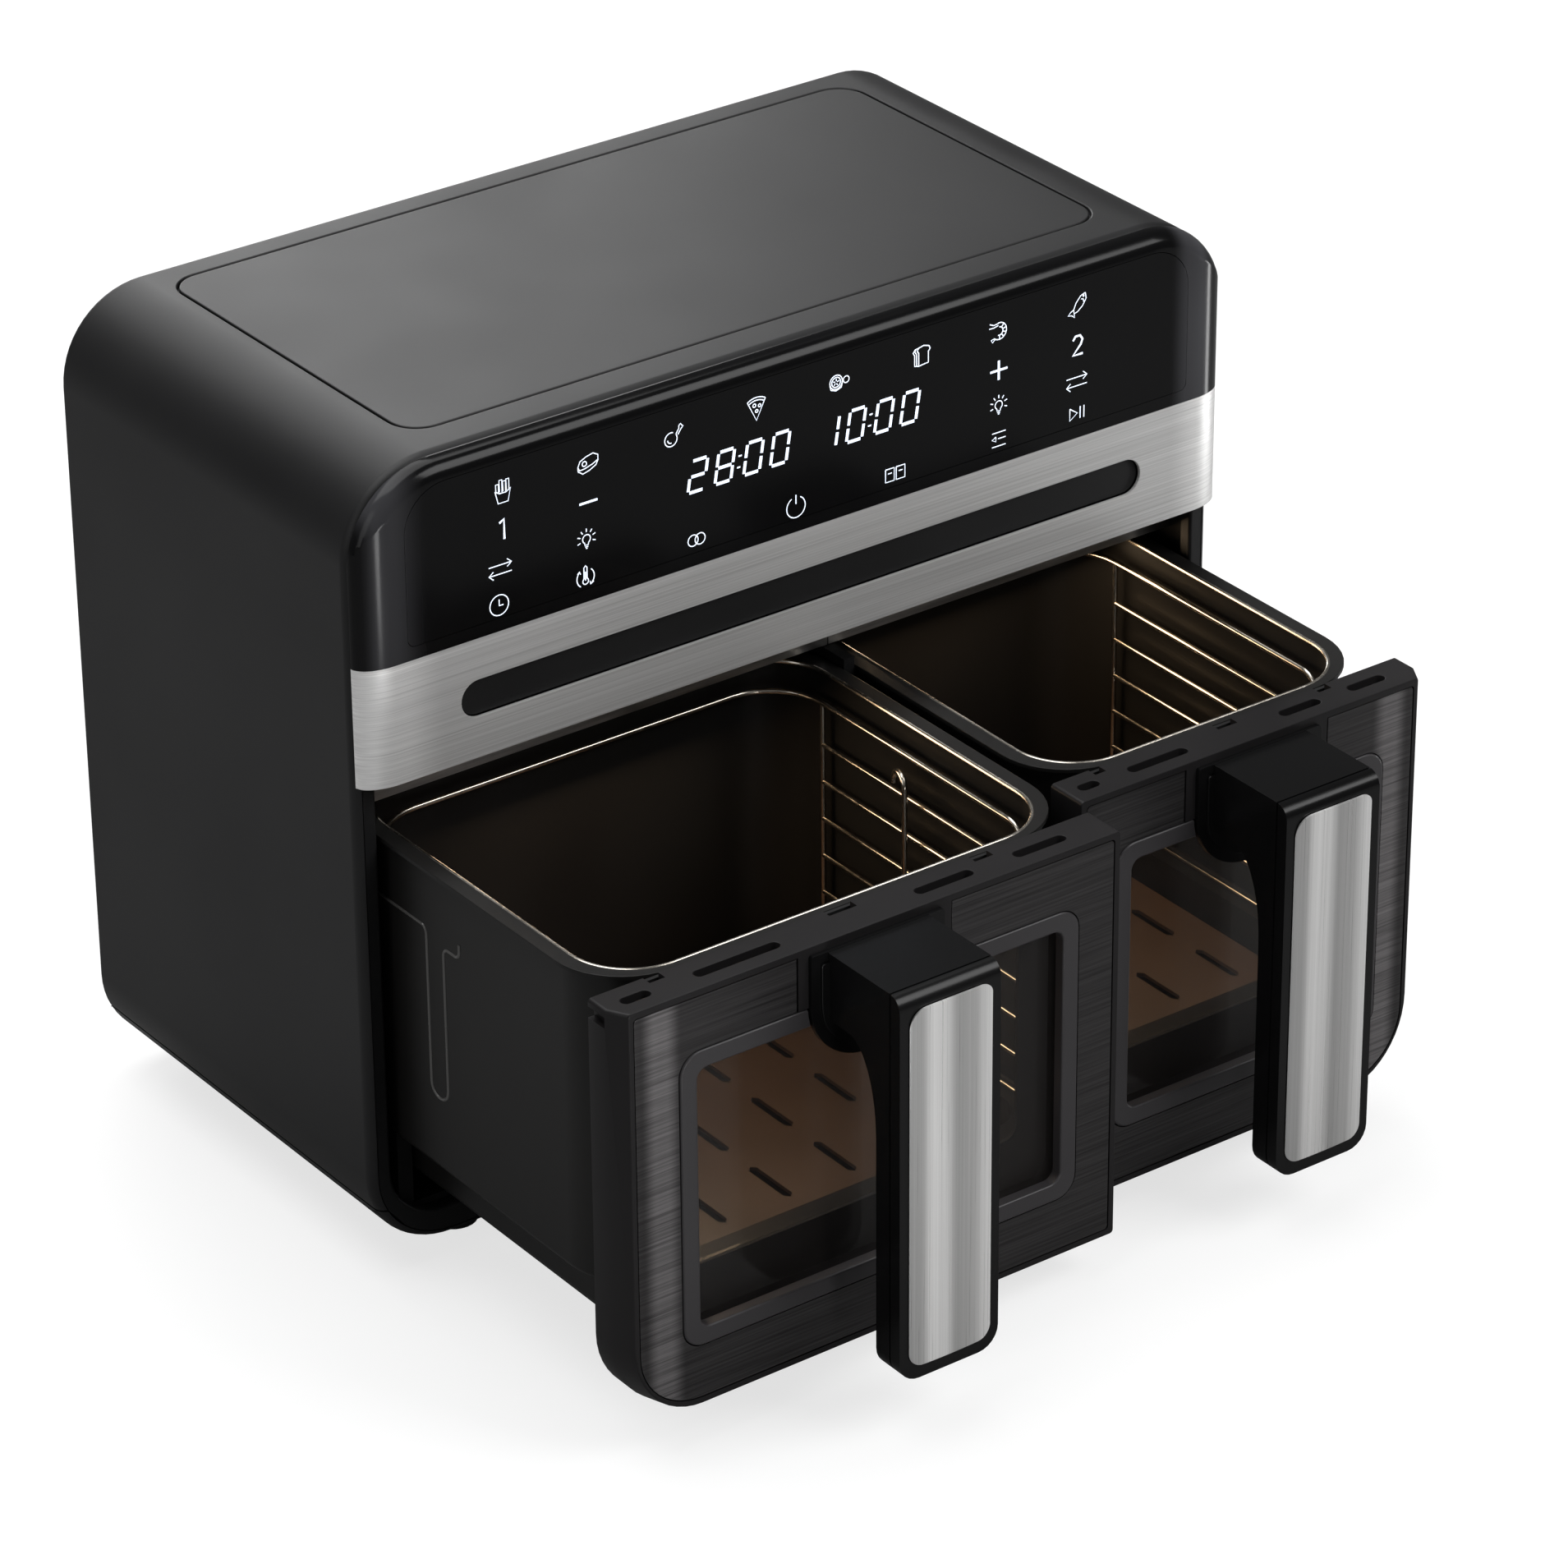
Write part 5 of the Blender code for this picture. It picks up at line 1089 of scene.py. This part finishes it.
# floor, lights and camera
studio = {
    "floorHalf": 3.2, "floorTone": 0.3, "floorGlow": 0.72, "skyTone": 0.13, "backTone": 1.0,
    "cameraAt": (-1.3293, -1.8024, 1.3710), "azimuth": -36.1775, "elevation": 28.5795, "roll": -0.4648,
    "lens": 153.64, "sensor": 36.0,
}


def buildFloor():
    bpy.ops.object.select_all(action="DESELECT")
    bpy.ops.mesh.primitive_plane_add(size=studio["floorHalf"] * 2, location=(0, 0, 0))
    floor = bpy.context.object
    floor.name = "studioFloor"
    tone = studio["floorTone"]
    finish = Finish("studioFloor", (tone,) * 3, 0.9, Specular_IOR_Level=0.1)
    finish.tint(finish.noise(3, detail=2), (tone - 0.005,) * 3, (tone,) * 3)
    # a little glow keeps the floor white where the lights fall off
    finish.set("Emission Color", (1, 1, 1, 1))
    ray = finish.nodes.new("ShaderNodeLightPath")
    finish.links.new(finish.spread(ray.outputs["Is Camera Ray"], 0, studio["floorGlow"], 0, 1),
                     finish.shader.inputs["Emission Strength"])
    floor.data.materials.append(finish.material)


def areaLight(name, place, aim, size, power, color=(1, 1, 1)):
    data = bpy.data.lights.new(name, "AREA")
    data.shape = "RECTANGLE"
    data.size, data.size_y = size
    data.energy = power
    data.color = color
    light = bpy.data.objects.new(name, data)
    scene.collection.objects.link(light)
    light.location = place
    light.rotation_euler = (Vector(aim) - Vector(place)).to_track_quat("-Z", "Y").to_euler()
    return light


def buildWorld():
    world = bpy.data.worlds.new("studioSky")
    scene.world = world
    world.use_nodes = True
    sky = world.node_tree.nodes["Background"]
    ray = world.node_tree.nodes.new("ShaderNodeLightPath")
    mix = world.node_tree.nodes.new("ShaderNodeMix")
    mix.data_type = "RGBA"
    mix.inputs[6].default_value = (*(studio["skyTone"],) * 3, 1)
    mix.inputs[7].default_value = (*(studio["backTone"],) * 3, 1)
    world.node_tree.links.new(ray.outputs["Is Camera Ray"], mix.inputs[0])
    world.node_tree.links.new(mix.outputs[2], sky.inputs["Color"])


def buildCamera():
    s = studio
    a, e, r = (math.radians(s[key]) for key in ("azimuth", "elevation", "roll"))
    back = Vector((math.sin(a) * math.cos(e), -math.cos(a) * math.cos(e), math.sin(e)))
    right = Vector((0, 0, 1)).cross(back).normalized()
    up = back.cross(right)
    x = math.cos(r) * right + math.sin(r) * up
    y = -math.sin(r) * right + math.cos(r) * up
    data = bpy.data.cameras.new("studioCamera")
    data.lens = s["lens"]
    data.sensor_width = s["sensor"]
    data.clip_start = 0.05
    data.clip_end = 50
    camera = bpy.data.objects.new("studioCamera", data)
    scene.collection.objects.link(camera)
    camera.matrix_world = Matrix.Translation(s["cameraAt"]) @ Matrix((x, y, back)).transposed().to_4x4()
    scene.camera = camera


buildFloor()
buildWorld()
buildCamera()
areaLight("keySoft", (0.9, -1.3, 1.7), (0, 0, 0.15), (1.2, 1.2), 30)
areaLight("topSoft", (-0.2, 0.5, 2.0), (0, 0, 0.2), (2.2, 1.6), 42)
areaLight("leftFill", (-1.9, -0.3, 0.9), (0, 0, 0.15), (0.9, 1.4), 5)
areaLight("rearFill", (0.5, 2.1, 0.9), (0, 0.1, 0.15), (1.6, 1.2), 26)
# two low strips that only show as soft lines in the head's curved ends
for name, place in (("glowLeft", (-0.14, -0.56, 0.03)), ("glowRight", (0.66, -0.22, 0.03))):
    strip = areaLight(name, place, (math.copysign(0.19, place[0]), 0, 0.29), (0.06, 0.3), 0.8)
    strip.visible_camera = False
# the lamp in each basket
for side in ("left", "right"):
    low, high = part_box(f"{side}_basket")
    middle = (low.x + high.x) / 2
    basketLamp = areaLight(f"{side}Lamp", (middle, high.y - 0.03, high.z - 0.006), (middle, low.y + 0.03, low.z),
                           (0.12, 0.04), 0.15, (1.0, 0.72, 0.45))
    basketLamp.visible_camera = False
scene.view_settings.view_transform = "Standard"
print("studio lit")
